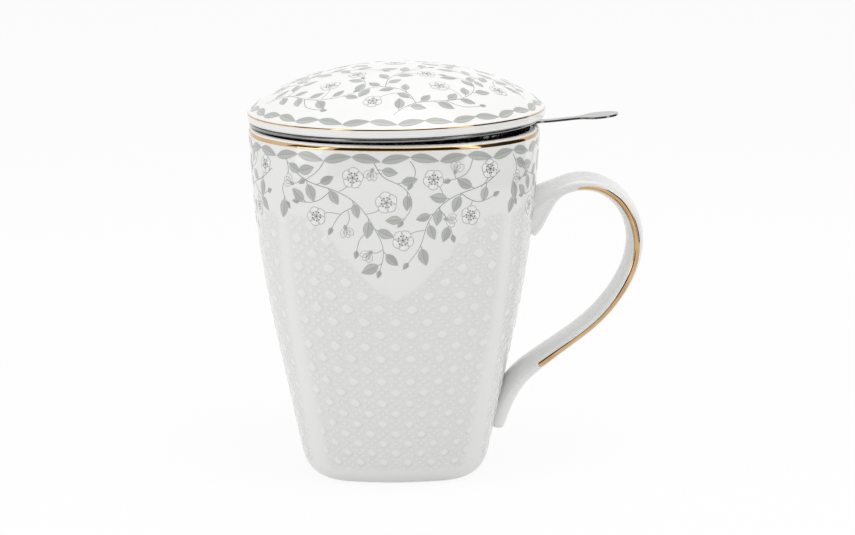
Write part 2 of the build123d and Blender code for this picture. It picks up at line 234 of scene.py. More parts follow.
def skin(rings, closed=False):
    """Mesh through rings of points; a ring may be one point, or have a multiple of its neighbour's points."""
    points, faces, starts = [], [], []
    for ring in rings:
        starts.append(len(points))
        points += ring
    for index in list(range(len(rings) - 1)) + ([-1] if closed else []):
        low, high = starts[index], starts[index + 1]
        below, above = len(rings[index]), len(rings[index + 1])
        fewer = min(below, above)
        for k in range(fewer if fewer > 1 else max(below, above)):
            if below == 1:
                faces.append((low, high + (k + 1) % above, high + k))
            elif above == 1:
                faces.append((low + k, low + (k + 1) % below, high))
            else:
                first, second = below // fewer, above // fewer
                lower = [low + (k * first + n) % below for n in range(first + 1)]
                upper = [high + (k * second + n) % above for n in range(second, -1, -1)]
                faces.append(lower + upper)
    return points, faces


def add_piece(name, points, faces, edges=()):
    mesh = bpy.data.meshes.new(name)
    mesh.from_pydata(points, edges, faces)
    mesh.shade_smooth()
    piece = bpy.data.objects.new(name, mesh)
    bpy.context.scene.collection.objects.link(piece)
    return piece


def keep_values(piece, name, values):
    """Store three numbers for each point of a mesh, for its material to read."""
    layer = piece.data.attributes.new(name, "FLOAT_VECTOR", "POINT")
    layer.data.foreach_set("vector", [number for value in values for number in value])


body_rings = [[Vector((0, 0, FOOT_RECESS_DEPTH))]]
weave = [(0.0, 0.0, 0.0)]
for half, corner, z, count in mug_outline():
    girth = side_girth(half, corner)
    ring = []
    for index in range(count):
        along = 4 * girth * index / count
        side = math.floor(along / girth + 0.5)
        point, out = on_ring(half, corner, side, along - side * girth)
        a, b, pressed = webbing(along - side * girth, z, girth)
        if count < BODY_COLUMNS:
            pressed = 0.0
        sunk = RELIEF_HEIGHT * (1 - lozenge(a, b)) * pressed
        ring.append(Vector((point.x - out.x * sunk, point.y - out.y * sunk, z)))
        weave.append((a, b, pressed))
    body_rings.append(ring)
body_rings.append([Vector((0, 0, MUG_FLOOR_HEIGHT))])
weave.append((0.0, 0.0, 0.0))
mug_porcelain = add_piece("mug_porcelain", *skin(body_rings))
keep_values(mug_porcelain, "weave", weave)


def feed(tree, sockets, values):
    """Link or set sockets, each found by its name or number."""
    for key, value in values.items():
        if isinstance(value, bpy.types.NodeSocket):
            tree.links.new(value, sockets[key])
        else:
            sockets[key].default_value = value


def node(tree, kind, values={}, **settings):
    made = tree.nodes.new(kind)
    for name, value in settings.items():
        setattr(made, name, value)
    feed(tree, made.inputs, values)
    return made


def maths(tree, operation, *terms):
    return node(tree, "ShaderNodeMath", dict(enumerate(terms)), operation=operation).outputs[0]


def blend(tree, share, first, second, blend_type="MIX"):
    colours = {"Factor": share, "A": first, "B": second}
    return node(tree, "ShaderNodeMix", colours, data_type="RGBA", blend_type=blend_type).outputs["Result"]


def noise(tree, values):
    return node(tree, "ShaderNodeTexNoise", values).outputs["Fac"]


def stored(tree, name):
    """The three numbers that keep_values stored on the mesh."""
    vector = node(tree, "ShaderNodeAttribute", attribute_name=name).outputs["Vector"]
    return node(tree, "ShaderNodeSeparateXYZ", {0: vector}).outputs


def new_tree(name, kind, inputs, outputs):
    """An empty node tree, with the sockets that it takes in and gives out."""
    tree = bpy.data.node_groups.new(name, kind)
    for label, socket, value in inputs:
        taken = tree.interface.new_socket(label, in_out="INPUT", socket_type="NodeSocket" + socket)
        if value is not None:
            taken.default_value = value
    for label, socket in outputs:
        tree.interface.new_socket(label, in_out="OUTPUT", socket_type="NodeSocket" + socket)
    return tree, tree.nodes.new("NodeGroupInput").outputs, tree.nodes.new("NodeGroupOutput").inputs


FINISH = [("Colour", "Color"), ("Roughness", "Float"), ("Height", "Float")]
LOZENGE_HALF = 0.23                # half width of a lozenge in the bump, in strand counts
KNOT_PLACES = ((0.5, 0.5), (0.2, 0.5), (0.5, 0.2))
KNOT_HEIGHT = 0.85


def glaze_group():
    """Clear glaze over white clay: faint clouding of the white, soft ripple, uneven gloss."""
    group, given, made = new_tree("glaze", "ShaderNodeTree", [
        ("White", "Color", (0.8, 0.8, 0.8, 1)), ("Cloud", "Color", (0.75, 0.75, 0.74, 1)),
        ("Ripple", "Float", 1.0)], FINISH)
    place = node(group, "ShaderNodeTexCoord").outputs["Object"]
    clouding = noise(group, {"Vector": place, "Scale": 38.0, "Detail": 3.0})
    grain = noise(group, {"Vector": place, "Scale": 260.0, "Detail": 2.0})
    ripple = maths(group, "MULTIPLY_ADD", grain, 0.25, clouding)
    feed(group, made, {
        "Colour": blend(group, maths(group, "MULTIPLY", clouding, 0.7), given["White"], given["Cloud"]),
        "Roughness": maths(group, "MULTIPLY_ADD", grain, 0.06, 0.07),
        "Height": maths(group, "MULTIPLY", ripple, given["Ripple"])})
    return group


def webbing_group():
    """Shape of the pressed webbing, lozenges and small knots, and painted shade on the ground between them."""
    group, given, made = new_tree("webbing", "ShaderNodeTree", [
        ("Knot", "Float", 0.09), ("Soft", "Float", 0.05)], [("Height", "Float"), ("Painted Shade", "Float")])
    first_strand, second_strand, pressed = stored(group, "weave")
    # distance of each strand count from the nearest whole number, 0 on a lozenge and 0.5 between
    away = [maths(group, "PINGPONG", strand, 0.5) for strand in (first_strand, second_strand)]

    def raised(middle, half, height):
        spans = [maths(group, "ABSOLUTE", maths(group, "SUBTRACT", *pair)) for pair in zip(away, middle)]
        powers = [maths(group, "POWER", span, LOZENGE_POWER) for span in spans]
        return node(group, "ShaderNodeMapRange", {
            "Value": maths(group, "POWER", maths(group, "ADD", *powers), 1 / LOZENGE_POWER),
            "From Min": maths(group, "SUBTRACT", half, given["Soft"]), "To Min": height,
            "From Max": maths(group, "ADD", half, given["Soft"]), "To Max": 0.0},
            interpolation_type="SMOOTHSTEP").outputs["Result"]

    height = raised((0.0, 0.0), LOZENGE_HALF, 1.0)
    for middle in KNOT_PLACES:
        height = maths(group, "MAXIMUM", height, raised(middle, given["Knot"], KNOT_HEIGHT))
    between = maths(group, "SUBTRACT", 1.0, height)
    feed(group, made, {"Height": maths(group, "MULTIPLY", height, pressed),
                       "Painted Shade": maths(group, "MULTIPLY", between, pressed)})
    return group


GLAZE = glaze_group()
WEBBING = webbing_group()
GLAZE_IOR = 1.5
GLAZE_RIPPLE = 0.025
KNOT_REACH = 0.1
# how strongly, and how dark, the ground between the lozenges and knots is painted: painted shade in the
# relief's grooves
PAINTED_SHADE_SHARE = 0.5
PAINTED_SHADE_DARKNESS = 0.9
PRESSED_SHARE = 0.7                # height of the webbing's bump beside the glaze's ripple
BUMP_DEPTH = 0.25 * MM
MUG_WHITE, MUG_CLOUD = (0.79, 0.795, 0.78), (0.745, 0.75, 0.73)


def new_material(name):
    material = bpy.data.materials.new(name)
    material.use_nodes = True
    return material, material.node_tree, material.node_tree.nodes["Principled BSDF"].inputs


def placed(tree, group, values={}):
    return node(tree, "ShaderNodeGroup", values, node_tree=group).outputs


def bumped(tree, height, strength, distance):
    values = {"Height": height, "Strength": strength, "Distance": distance}
    return node(tree, "ShaderNodeBump", values).outputs["Normal"]


def porcelain(name, white, cloud, pressed=False):
    material, tree, shader = new_material(name)
    glaze = placed(tree, GLAZE, {"White": (*white, 1), "Cloud": (*cloud, 1), "Ripple": GLAZE_RIPPLE})
    colour, height = glaze["Colour"], glaze["Height"]
    if pressed:
        relief = placed(tree, WEBBING, {"Knot": KNOT_REACH})
        # the ground between the lozenges and knots is painted darker: painted shade in the grooves of the
        # relief
        deep = (*[channel * PAINTED_SHADE_DARKNESS for channel in cloud], 1)
        colour = blend(tree, maths(tree, "MULTIPLY", relief["Painted Shade"], PAINTED_SHADE_SHARE), colour, deep)
        height = maths(tree, "MULTIPLY_ADD", relief["Height"], PRESSED_SHARE, height)
    feed(tree, shader, {"Base Color": colour, "Roughness": glaze["Roughness"], "IOR": GLAZE_IOR,
                        "Normal": bumped(tree, height, 1.0, BUMP_DEPTH)})
    return material


mug_porcelain.data.materials.append(porcelain("pressed porcelain", MUG_WHITE, MUG_CLOUD, pressed=True))
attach(mug_porcelain, "mug")
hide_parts("mug_body")

# ============================================================ ear handle of the mug
# A porcelain strap of oval section, pressed in its own mould and stuck on with slip
# before the first firing; it swells into a wide root under the lip and ends low down.
HANDLE_HALF_WIDTH = 7.25 * MM
HANDLE_TOP_THICKNESS = 5.5 * MM
HANDLE_LOW_THICKNESS = 4.3 * MM
HANDLE_UPPER_ROOT_DEPTH = 14.0 * MM
HANDLE_UPPER_FLARE = 16.5 * MM     # length along the strap over which the root swells
HANDLE_LOWER_ROOT_DEPTH = 7.0 * MM
HANDLE_LOWER_FLARE = 40.0 * MM
HANDLE_BURIED = 0.9 * MM           # how far the roots run into the wall
HANDLE_SLOPE_REACH = 0.3 * MM      # the strap's direction is taken this far before and after a place
HANDLE_RINGS = 150
HANDLE_COLUMNS = 64
HANDLE_PATH = (                    # middle of the strap, X and Z in millimetres
    (37.4, 75.1), (43.1, 80.5), (48.8, 84.6), (54.2, 86.4), (60.0, 86.0),
    (65.4, 83.2), (69.6, 78.1), (71.9, 70.4), (70.9, 61.8), (67.0, 53.6), (60.4, 45.4),
    (50.8, 37.6), (43.8, 32.4), (37.2, 26.7), (33.0, 20.3), (30.0, 12.8),
)
HANDLE_CAP = (                     # rings that close an end: share of its size, millimetres out
    (0.985, 0.25), (0.95, 0.42), (0.9, 0.5), (0.5, 0.5), (0.0, 0.5))


def lengths_along(spots):
    """Distance of each spot from the first, along straight lines between them."""
    lengths = [0.0]
    for near, far in zip(spots, spots[1:]):
        lengths.append(lengths[-1] + math.dist(near, far))
    return lengths


def curve_through(spots):
    """Length of the smooth curve through some spots, and what finds its place at a length."""
    knots, axes = lengths_along(spots), list(zip(*spots))
    bends = [natural_spline(values, knots) for values in axes]
    return knots[-1], lambda length: [spline_at(axes[k], knots, bends[k], length) for k in (0, 1)]


HANDLE_LENGTH, strap_middle = curve_through([(x * MM, z * MM) for x, z in HANDLE_PATH])


def on_handle(place, turn, proud=0.0):
    """Surface of the strap; turn 0 is its outer side, a quarter turn its -Y edge."""
    here = strap_middle(place)
    ahead = strap_middle(min(HANDLE_LENGTH, place + HANDLE_SLOPE_REACH))
    behind = strap_middle(max(0.0, place - HANDLE_SLOPE_REACH))
    run = Vector((ahead[0] - behind[0], 0, ahead[1] - behind[1])).normalized()
    outer, edge = Vector((-run.z, 0, run.x)), Vector((0, -1, 0))
    depth = HANDLE_TOP_THICKNESS + (HANDLE_LOW_THICKNESS - HANDLE_TOP_THICKNESS) * place / HANDLE_LENGTH
    depth += (HANDLE_UPPER_ROOT_DEPTH - HANDLE_TOP_THICKNESS) * ease(HANDLE_UPPER_FLARE, 0.0, place)
    left = HANDLE_LENGTH - place
    depth += (HANDLE_LOWER_ROOT_DEPTH - HANDLE_LOW_THICKNESS) * ease(HANDLE_LOWER_FLARE, 0.0, left)
    half, out, aside = depth / 2, outer * math.cos(turn), edge * math.sin(turn)
    normal = (out / half + aside / HANDLE_HALF_WIDTH).normalized()
    return Vector((here[0], 0, here[1])) + out * half + aside * HANDLE_HALF_WIDTH + normal * proud


def out_of_cavity(point):
    """Keep a root of the handle from showing inside the mug."""
    half, corner = half_width(point.z), corner_radius(point.z)
    sweep = side_sweep(half, corner)
    wall = half - sweep + math.sqrt(sweep ** 2 - point.y ** 2) - HANDLE_BURIED
    return Vector((max(point.x, wall), point.y, point.z))


handle_rings = []
for step in range(HANDLE_RINGS + 1):
    place = HANDLE_LENGTH * step / HANDLE_RINGS
    turns = [-2 * math.pi * k / HANDLE_COLUMNS for k in range(HANDLE_COLUMNS)]
    handle_rings.append([out_of_cavity(on_handle(place, turn)) for turn in turns])
for end, beside in ((0, 1), (-1, -2)):
    rim = handle_rings[end]
    middle = sum(rim, Vector()) / len(rim)
    last, before = HANDLE_PATH[end], HANDLE_PATH[beside]
    outward = Vector((last[0] - before[0], 0, last[1] - before[1])).normalized()
    for share, lead in HANDLE_CAP:
        cap = [point.lerp(middle, 1 - share) + outward * lead * MM for point in (rim if share else [middle])]
        handle_rings.insert(0 if end == 0 else len(handle_rings), cap)
mug_handle = add_piece("handle_porcelain", *skin(handle_rings))
mug_handle.data.materials.append(porcelain("plain porcelain", MUG_WHITE, MUG_CLOUD))
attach(mug_handle, "mug")
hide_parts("mug_handle")

# ============================================================ steel infuser: collar and flange
# Stainless sheet drawn into a skirt and a flat flange, whose edge is rolled into a bead.
# The flange rests on the mug's lip, tilted a little by the tab that passes under it.
HEEL_CLEARANCE = 0.12 * MM
TAB_CLEARANCE = 0.12 * MM
LID_CLEARANCE = 0.12 * MM
TAB_THICKNESS = 0.6 * MM
TAB_DROP = 0.75 * MM
LIP_CREST_RADIUS = RIM_HALF_WIDTH - MUG_WALL / 2
TILT = math.asin((TAB_CLEARANCE + TAB_THICKNESS + TAB_DROP - HEEL_CLEARANCE) / (2 * LIP_CREST_RADIUS))
FLANGE_RADIUS = 42.8 * MM
BEAD_HEIGHT = 1.2 * MM
BEAD_TURN = (160, 450)             # the bead curls round between these angles
FLANGE_SHEET = 0.5 * MM
COLLAR_RADIUS = 36.6 * MM
COLLAR_DEPTH = 13.0 * MM
COLLAR_BEND = 1.2 * MM
COLLAR_COLUMNS = 192
STEEL_BUMP, STEEL_BUMP_DEPTH = 0.12, 0.05 * MM
SKIRT_RINGS, BEND_STEPS, BEAD_STEPS = 5, 6, 26
ON_AXIS = 0.001 * MM               # an outline point closer to the axis is one point, not a ring


def seat(lift=0.0, shift=0.0):
    """Where a piece drawn level about its axis comes to lie on the tilted flange seat."""
    heel = Matrix.Translation((-LIP_CREST_RADIUS, 0, MUG_HEIGHT + HEEL_CLEARANCE))
    return heel @ Matrix.Rotation(-TILT, 4, "Y") @ Matrix.Translation((LIP_CREST_RADIUS + shift, 0, lift))


def turned(outline, columns, place):
    """Rings of a lathe shape from its half outline of radius and height."""
    angles = [2 * math.pi * k / columns - math.pi / 2 for k in range(columns)]
    return [[place @ Vector((radius * math.cos(a), radius * math.sin(a), height)) for a in angles]
            if radius > ON_AXIS else [place @ Vector((0, 0, height))] for radius, height in outline]


def arc(centre, radius, start, end, steps):
    """Outline points round a centre, angles in degrees from the +X direction."""
    turns = [math.radians(start + (end - start) * step / steps) for step in range(steps + 1)]
    return [(centre[0] + radius * math.cos(turn), centre[1] + radius * math.sin(turn)) for turn in turns]


skirt = COLLAR_RADIUS - FLANGE_SHEET
bead = BEAD_HEIGHT / 2
under_bend = BEAD_HEIGHT - FLANGE_SHEET - COLLAR_BEND
collar_outline = [(skirt, -COLLAR_DEPTH), (COLLAR_RADIUS, -COLLAR_DEPTH)]
collar_outline += [(COLLAR_RADIUS, -COLLAR_DEPTH * (1 - k / SKIRT_RINGS)) for k in range(1, SKIRT_RINGS + 1)]
collar_outline += arc((COLLAR_RADIUS + COLLAR_BEND, under_bend), COLLAR_BEND, 180, 90, BEND_STEPS)
collar_outline += arc((FLANGE_RADIUS - bead, bead), bead, *BEAD_TURN, BEAD_STEPS)
collar_outline += arc((skirt + COLLAR_BEND, BEAD_HEIGHT - COLLAR_BEND), COLLAR_BEND, 90, 180, BEND_STEPS)
collar_outline += [(skirt, -COLLAR_DEPTH * k / SKIRT_RINGS) for k in range(1, SKIRT_RINGS)]
collar_rings = turned(collar_outline, COLLAR_COLUMNS, seat())
collar_steel = add_piece("collar_and_flange", *skin(collar_rings, closed=True))


def vectors(tree, operation, *terms):
    """Like maths, on vectors.  The second term of SCALE is a plain number."""
    keys = (0, "Scale") if operation == "SCALE" else (0, 1)
    return node(tree, "ShaderNodeVectorMath", dict(zip(keys, terms)), operation=operation).outputs[0]


def steel_group():
    """Rolled and polished stainless: fine drawing lines and faint handling marks."""
    group, given, made = new_tree("polished steel", "ShaderNodeTree", [
        ("Steel", "Color", (0.56, 0.56, 0.57, 1)), ("Lines", "Float", 300.0)], FINISH)
    place = node(group, "ShaderNodeTexCoord").outputs["Object"]
    drawn_out = vectors(group, "MULTIPLY", place, (0.12, 0.12, 1.0))
    lines = noise(group, {"Vector": drawn_out, "Scale": maths(group, "MULTIPLY", given["Lines"], 10.0)})
    marks = noise(group, {"Vector": place, "Scale": 90.0})
    rough = maths(group, "MULTIPLY_ADD", lines, 0.1, 0.1)
    marked = maths(group, "MULTIPLY", marks, 0.35)
    feed(group, made, {
        "Colour": blend(group, marked, given["Steel"], (0.8, 0.8, 0.8, 1), "MULTIPLY"),
        "Roughness": maths(group, "MULTIPLY_ADD", marks, 0.08, rough), "Height": lines})
    return group


STEEL = steel_group()


def steel(name, colour):
    material, tree, shader = new_material(name)
    finish = placed(tree, STEEL, {"Steel": (*colour, 1)})
    feed(tree, shader, {"Metallic": 1.0, "Base Color": finish["Colour"], "Roughness": finish["Roughness"],
                        "Normal": bumped(tree, finish["Height"], STEEL_BUMP, STEEL_BUMP_DEPTH)})
    return material


# the collar's steel is painted darker than the sleeve's: painted dark reflection and shade on the flange's
# bead under the lid
collar_steel.data.materials.append(steel("drawn steel painted dark", (0.3, 0.3, 0.295)))
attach(collar_steel, "infuser")
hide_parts("infuser_collar")

# ============================================================ steel infuser: perforated sleeve
# Thin stainless sheet, perforated all over with fine round holes, rolled to a taper and
# welded inside the collar.  A plain margin is left at the top and at the bottom.
SLEEVE_PLAY = 0.05 * MM
SLEEVE_TOP_RADIUS = COLLAR_RADIUS - FLANGE_SHEET - SLEEVE_PLAY
SLEEVE_BOTTOM_RADIUS = 27.5 * MM
SLEEVE_DEPTH = 58.0 * MM
SLEEVE_SHEET = 0.4 * MM
SLEEVE_LAP = 4.0 * MM              # how far the sleeve goes up inside the collar
SLEEVE_MARGIN = 3.6 * MM
CELL_SEAM = 0.002                  # points closer than this are joined, in widths of a cell
SHEET_SEAM = 0.02 * MM             # and in the rolled sheet
STRIP_SEAM = 0.03 * MM             # and where the plain strips meet it
HOLE_ROWS = 21
HOLES_ROUND = 88
HOLE_SIDES = 8
HOLE_SHARE = 0.56                  # hole diameter as a share of the row pitch


def grown(name, tree, values):
    """Run a Geometry Nodes tree on an empty mesh, and keep its result as a plain mesh."""
    seed = add_piece(name, [], [])
    grow = seed.modifiers.new("grow", "NODES")
    grow.node_group = tree
    sockets = {item.name: item.identifier for item in tree.interface.items_tree if item.in_out == "INPUT"}
    for label, value in values.items():
        grow[sockets[label]] = value
    evaluated = seed.evaluated_get(bpy.context.evaluated_depsgraph_get())
    mesh = bpy.data.meshes.new_from_object(evaluated)
    seed.modifiers.clear()
    seed.data = mesh
    mesh.name = name
    return seed


def growing_tree(name, inputs):
    """An empty Geometry Nodes tree, which takes in and gives out a shape."""
    inputs = [("Geometry", "Geometry", None), *inputs]
    return new_tree(name, "GeometryNodeTree", inputs, [("Geometry", "Geometry")])


def xyz(tree, *values):
    return node(tree, "ShaderNodeCombineXYZ", dict(enumerate(values))).outputs[0]


def position(tree):
    return node(tree, "ShaderNodeSeparateXYZ", {0: node(tree, "GeometryNodeInputPosition").outputs[0]}).outputs


def shape_of(tree, thing):
    return node(tree, "GeometryNodeObjectInfo", {"Object": thing}).outputs["Geometry"]


def realized(tree, shape):
    return node(tree, "GeometryNodeRealizeInstances", {"Geometry": shape}).outputs[0]


def copied(tree, shape, points, values={}):
    """A copy of a shape at each of some points."""
    values = {"Points": points, "Instance": shape, **values}
    return realized(tree, node(tree, "GeometryNodeInstanceOnPoints", values).outputs[0])


def moved(tree, shape, place):
    return node(tree, "GeometryNodeSetPosition", {"Geometry": shape, "Position": place}).outputs[0]


def merged(tree, shape, reach):
    return node(tree, "GeometryNodeMergeByDistance", {"Geometry": shape, "Distance": reach}).outputs[0]


def end_with(tree, made, shape, material):
    """End a tree with one real mesh in one material."""
    coated = node(tree, "GeometryNodeSetMaterial", {"Geometry": realized(tree, shape), "Material": material})
    feed(tree, made, {"Geometry": coated.outputs[0]})
    return tree


def perforated_tree():
    """A square cell with a round hole, laid out in a grid that is then rolled into a taper."""
    tree, given, made = growing_tree("perforated sheet", [
        ("Cell", "Object", None), ("Rows", "Int", 10), ("Round", "Int", 40), ("Top Radius", "Float", 0.03),
        ("Bottom Radius", "Float", 0.03), ("Top", "Float", 0.0), ("Fall", "Float", 0.04),
        ("Steel", "Material", None)])
    size = {"Size X": 1.0, "Size Y": 1.0, "Vertices X": given["Round"], "Vertices Y": given["Rows"]}
    grid = node(tree, "GeometryNodeMeshGrid", size).outputs["Mesh"]
    # one cell for each grid point, numbered along the sheet and down it
    index = node(tree, "GeometryNodeInputIndex").outputs[0]
    column = maths(tree, "FLOOR", maths(tree, "DIVIDE", index, given["Rows"]))
    row = maths(tree, "SUBTRACT", index, maths(tree, "MULTIPLY", column, given["Rows"]))
    spots = moved(tree, grid, xyz(tree, column, row))
    sheet = merged(tree, copied(tree, shape_of(tree, given["Cell"]), spots), CELL_SEAM)
    # roll: one turn for all the columns, falling one row pitch for each row
    x, y = position(tree)[:2]
    turn = maths(tree, "MULTIPLY", maths(tree, "DIVIDE", x, given["Round"]), 2 * math.pi)
    down = maths(tree, "DIVIDE", maths(tree, "ADD", y, 0.5), given["Rows"])
    spread = maths(tree, "SUBTRACT", given["Bottom Radius"], given["Top Radius"])
    radius = maths(tree, "MULTIPLY_ADD", spread, down, given["Top Radius"])
    rolled = xyz(tree, maths(tree, "MULTIPLY", radius, maths(tree, "COSINE", turn)),
                 maths(tree, "MULTIPLY", radius, maths(tree, "SINE", turn)),
                 maths(tree, "SUBTRACT", given["Top"], maths(tree, "MULTIPLY", down, given["Fall"])))
    return end_with(tree, made, merged(tree, moved(tree, sheet, rolled), SHEET_SEAM), given["Steel"])


def hole_cell(name, share, sides):
    """A unit cell of sheet with one hole in its middle, and points half way along its sides."""
    square = [(0.5, 0), (0.5, 0.5), (0, 0.5), (-0.5, 0.5), (-0.5, 0), (-0.5, -0.5), (0, -0.5), (0.5, -0.5)]
    turns = [2 * math.pi * k / sides for k in range(sides)]
    hole = [(share / 2 * math.cos(turn), share / 2 * math.sin(turn)) for turn in turns]
    points = [(x, y, 0) for x, y in square + hole]
    faces = [(k, (k + 1) % sides, sides + (k + 1) % sides, sides + k) for k in range(sides)]
    return add_piece(name, points, faces)


def finish_sheet(piece, strips, place, thickness):
    """Join plain strips to a perforated sheet, close its seams and give it its thickness."""
    work = bmesh.new()
    work.from_mesh(piece.data)
    for points, faces in strips:
        corners = [work.verts.new(point) for point in points]
        for face in faces:
            work.faces.new([corners[k] for k in face])
    bmesh.ops.remove_doubles(work, verts=work.verts, dist=STRIP_SEAM)
    bmesh.ops.recalc_face_normals(work, faces=work.faces)
    bmesh.ops.transform(work, matrix=place, verts=work.verts)
    work.to_mesh(piece.data)
    work.free()
    piece.data.shade_smooth()
    wall = piece.modifiers.new("sheet", "SOLIDIFY")
    wall.thickness = thickness
    wall.offset = 0.0


sleeve_slope = (SLEEVE_TOP_RADIUS - SLEEVE_BOTTOM_RADIUS) / (SLEEVE_DEPTH - COLLAR_DEPTH)


def sleeve_middle(depth):
    """Radius of the middle of the sleeve's sheet at a depth below the flange."""
    return SLEEVE_TOP_RADIUS - sleeve_slope * max(0.0, depth - COLLAR_DEPTH) - SLEEVE_SHEET / 2


sleeve_cell = hole_cell("sleeve_cell", HOLE_SHARE, HOLE_SIDES)
holes_top = COLLAR_DEPTH + SLEEVE_MARGIN
holes_bottom = SLEEVE_DEPTH - SLEEVE_MARGIN
sleeve_steel = grown("perforated_sleeve", perforated_tree(), {
    "Cell": sleeve_cell, "Rows": HOLE_ROWS, "Round": HOLES_ROUND,
    "Top": -holes_top, "Fall": holes_bottom - holes_top,
    "Top Radius": sleeve_middle(holes_top), "Bottom Radius": sleeve_middle(holes_bottom),
    "Steel": steel("perforated steel", (0.54, 0.54, 0.55))})
bpy.data.objects.remove(sleeve_cell)
sleeve_strips = []
for depths in ((holes_bottom, SLEEVE_DEPTH), (COLLAR_DEPTH - SLEEVE_LAP, COLLAR_DEPTH, holes_top)):
    strip = [(sleeve_middle(depth), -depth) for depth in depths]
    sleeve_strips.append(skin(turned(strip, 2 * HOLES_ROUND, Matrix.Identity(4))))
finish_sheet(sleeve_steel, sleeve_strips, seat(), SLEEVE_SHEET)
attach(sleeve_steel, "infuser")
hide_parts("infuser_sleeve")

# ============================================================ steel infuser: floor, bottom ring, tab
# A pressed disc closes the sleeve, a plain band covers their joint, and a strip spot-welded
# to the collar runs out over the lip as a thumb tab.  Only their steel is given here.
# this steel is painted darker than the sleeve's: painted dark reflection on the thumb tab's top
dark_painted_sheet_steel = steel("sheet steel painted dark", (0.4, 0.4, 0.4))
for name in ("infuser_floor", "infuser_bottom_ring", "infuser_tab", "tab_spot_welds"):
    bpy.data.objects[name].data.materials.clear()
    bpy.data.objects[name].data.materials.append(dark_painted_sheet_steel)

# ============================================================ porcelain lid
# A domed disc with an upright edge and a locating ring underneath, cast in one piece and
# glazed like the mug.  It lies loose on the flange, across to the handle side of its play.
LID_RADIUS = 44.0 * MM
LID_BAND = 2.6 * MM
LID_DOME = 13.2 * MM
LID_SHOULDER_RADIUS = 27.3 * MM
LID_SHOULDER_DROP = 4.1 * MM
LID_WALL = 3.4 * MM
LID_RING_RADIUS = 34.0 * MM
LID_RING_WALL = 2.8 * MM
LID_RING_DEPTH = 2.8 * MM
LID_UNDERCUT = 4.0 * MM            # a ring of points this far in from the edge, underneath
LID_EDGE_ROUNDING = 1.0 * MM       # these four are how far a rounding reaches from its corner
LID_CREASE_ROUNDING = 0.484 * MM
LID_RING_ROUNDING = 0.8 * MM
LID_HOLLOW_ROUNDING = 1.4 * MM
LID_SHIFT = 0.7 * MM
LID_COLUMNS = 256
CROWN_STEPS, FLANK_STEPS, HOLLOW_STEPS, ROUNDING_STEPS = 22, 20, 12, 5
lid_top = LID_BAND + LID_DOME
crown_radius = (LID_SHOULDER_RADIUS ** 2 + LID_SHOULDER_DROP ** 2) / (2 * LID_SHOULDER_DROP)
crown_slope = math.asin(LID_SHOULDER_RADIUS / crown_radius)
lid_shoulder = Vector((LID_SHOULDER_RADIUS, lid_top - LID_SHOULDER_DROP))
flank = Vector((LID_RADIUS, LID_BAND)) - lid_shoulder
flank_swing = math.atan2(-flank.y, flank.x) - crown_slope
flank_radius = flank.length / (2 * math.sin(flank_swing))
flank_centre = lid_shoulder - flank_radius * Vector((math.sin(crown_slope), math.cos(crown_slope)))


def soften(outline, corner, reach):
    """Round one corner of an outline with a curve that starts and ends a little way from it."""
    def walk(step):
        left, index = reach, corner
        while True:
            here, ahead = Vector(outline[index]), Vector(outline[index + step])
            if (ahead - here).length > left:
                return here + (ahead - here).normalized() * left, index
            left -= (ahead - here).length
            index += step
    start, before = walk(-1)
    end, after = walk(1)
    peak = Vector(outline[corner])
    shares = [k / ROUNDING_STEPS for k in range(ROUNDING_STEPS + 1)]
    curve = [tuple(start.lerp(peak, share).lerp(peak.lerp(end, share), share)) for share in shares]
    return outline[:before] + curve + outline[after + 1:]


def lid_outline():
    """Half outline from the top of the dome to the middle of the hollow."""
    start = 90 - math.degrees(crown_slope)
    outline = arc((0, lid_top - crown_radius), crown_radius, 90, start, CROWN_STEPS)
    outline += arc(flank_centre, flank_radius, start, start - math.degrees(2 * flank_swing), FLANK_STEPS)[1:]
    crease = len(outline) - 1
    outline += [(LID_RADIUS, LID_BAND * share) for share in (0.75, 0.5, 0.25, 0.0)]
    edge = len(outline) - 1
    outline += [(LID_RADIUS - LID_UNDERCUT, 0.0), (LID_RING_RADIUS, 0.0)]
    ring = len(outline)
    inner = LID_RING_RADIUS - LID_RING_WALL
    hollow_top, hollow_radius = lid_top - LID_WALL, crown_radius - LID_WALL
    hollow_edge = hollow_top - hollow_radius + math.sqrt(hollow_radius ** 2 - inner ** 2)
    outline += [(LID_RING_RADIUS, -LID_RING_DEPTH), (inner, -LID_RING_DEPTH), (inner, hollow_edge)]
    reach = math.degrees(math.asin(inner / hollow_radius))
    outline += arc((0, hollow_top - hollow_radius), hollow_radius, 90 - reach, 90, HOLLOW_STEPS)[1:]
    for corner, rounding in (
            (ring + 2, LID_HOLLOW_ROUNDING), (ring + 1, LID_RING_ROUNDING), (ring, LID_RING_ROUNDING),
            (edge, LID_EDGE_ROUNDING), (crease, LID_CREASE_ROUNDING)):
        outline = soften(outline, corner, rounding)
    outline[0] = (0.0, lid_top)
    outline[-1] = (0.0, hollow_top)
    return outline


lid_line = lid_outline()
lid_place = seat(BEAD_HEIGHT + LID_CLEARANCE, LID_SHIFT)
lid_porcelain = add_piece("lid_porcelain", *skin(turned(lid_line[::-1], LID_COLUMNS, lid_place)))
# the lid's white and cloud are lighter than the mug's, though it is the same glaze: painted light on the dome,
# which faces the overhead lamp
lid_porcelain.data.materials.append(porcelain("lid porcelain painted lighter", (0.83, 0.835, 0.82), (0.79, 0.795, 0.78)))
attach(lid_porcelain, "lid")
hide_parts("lid")

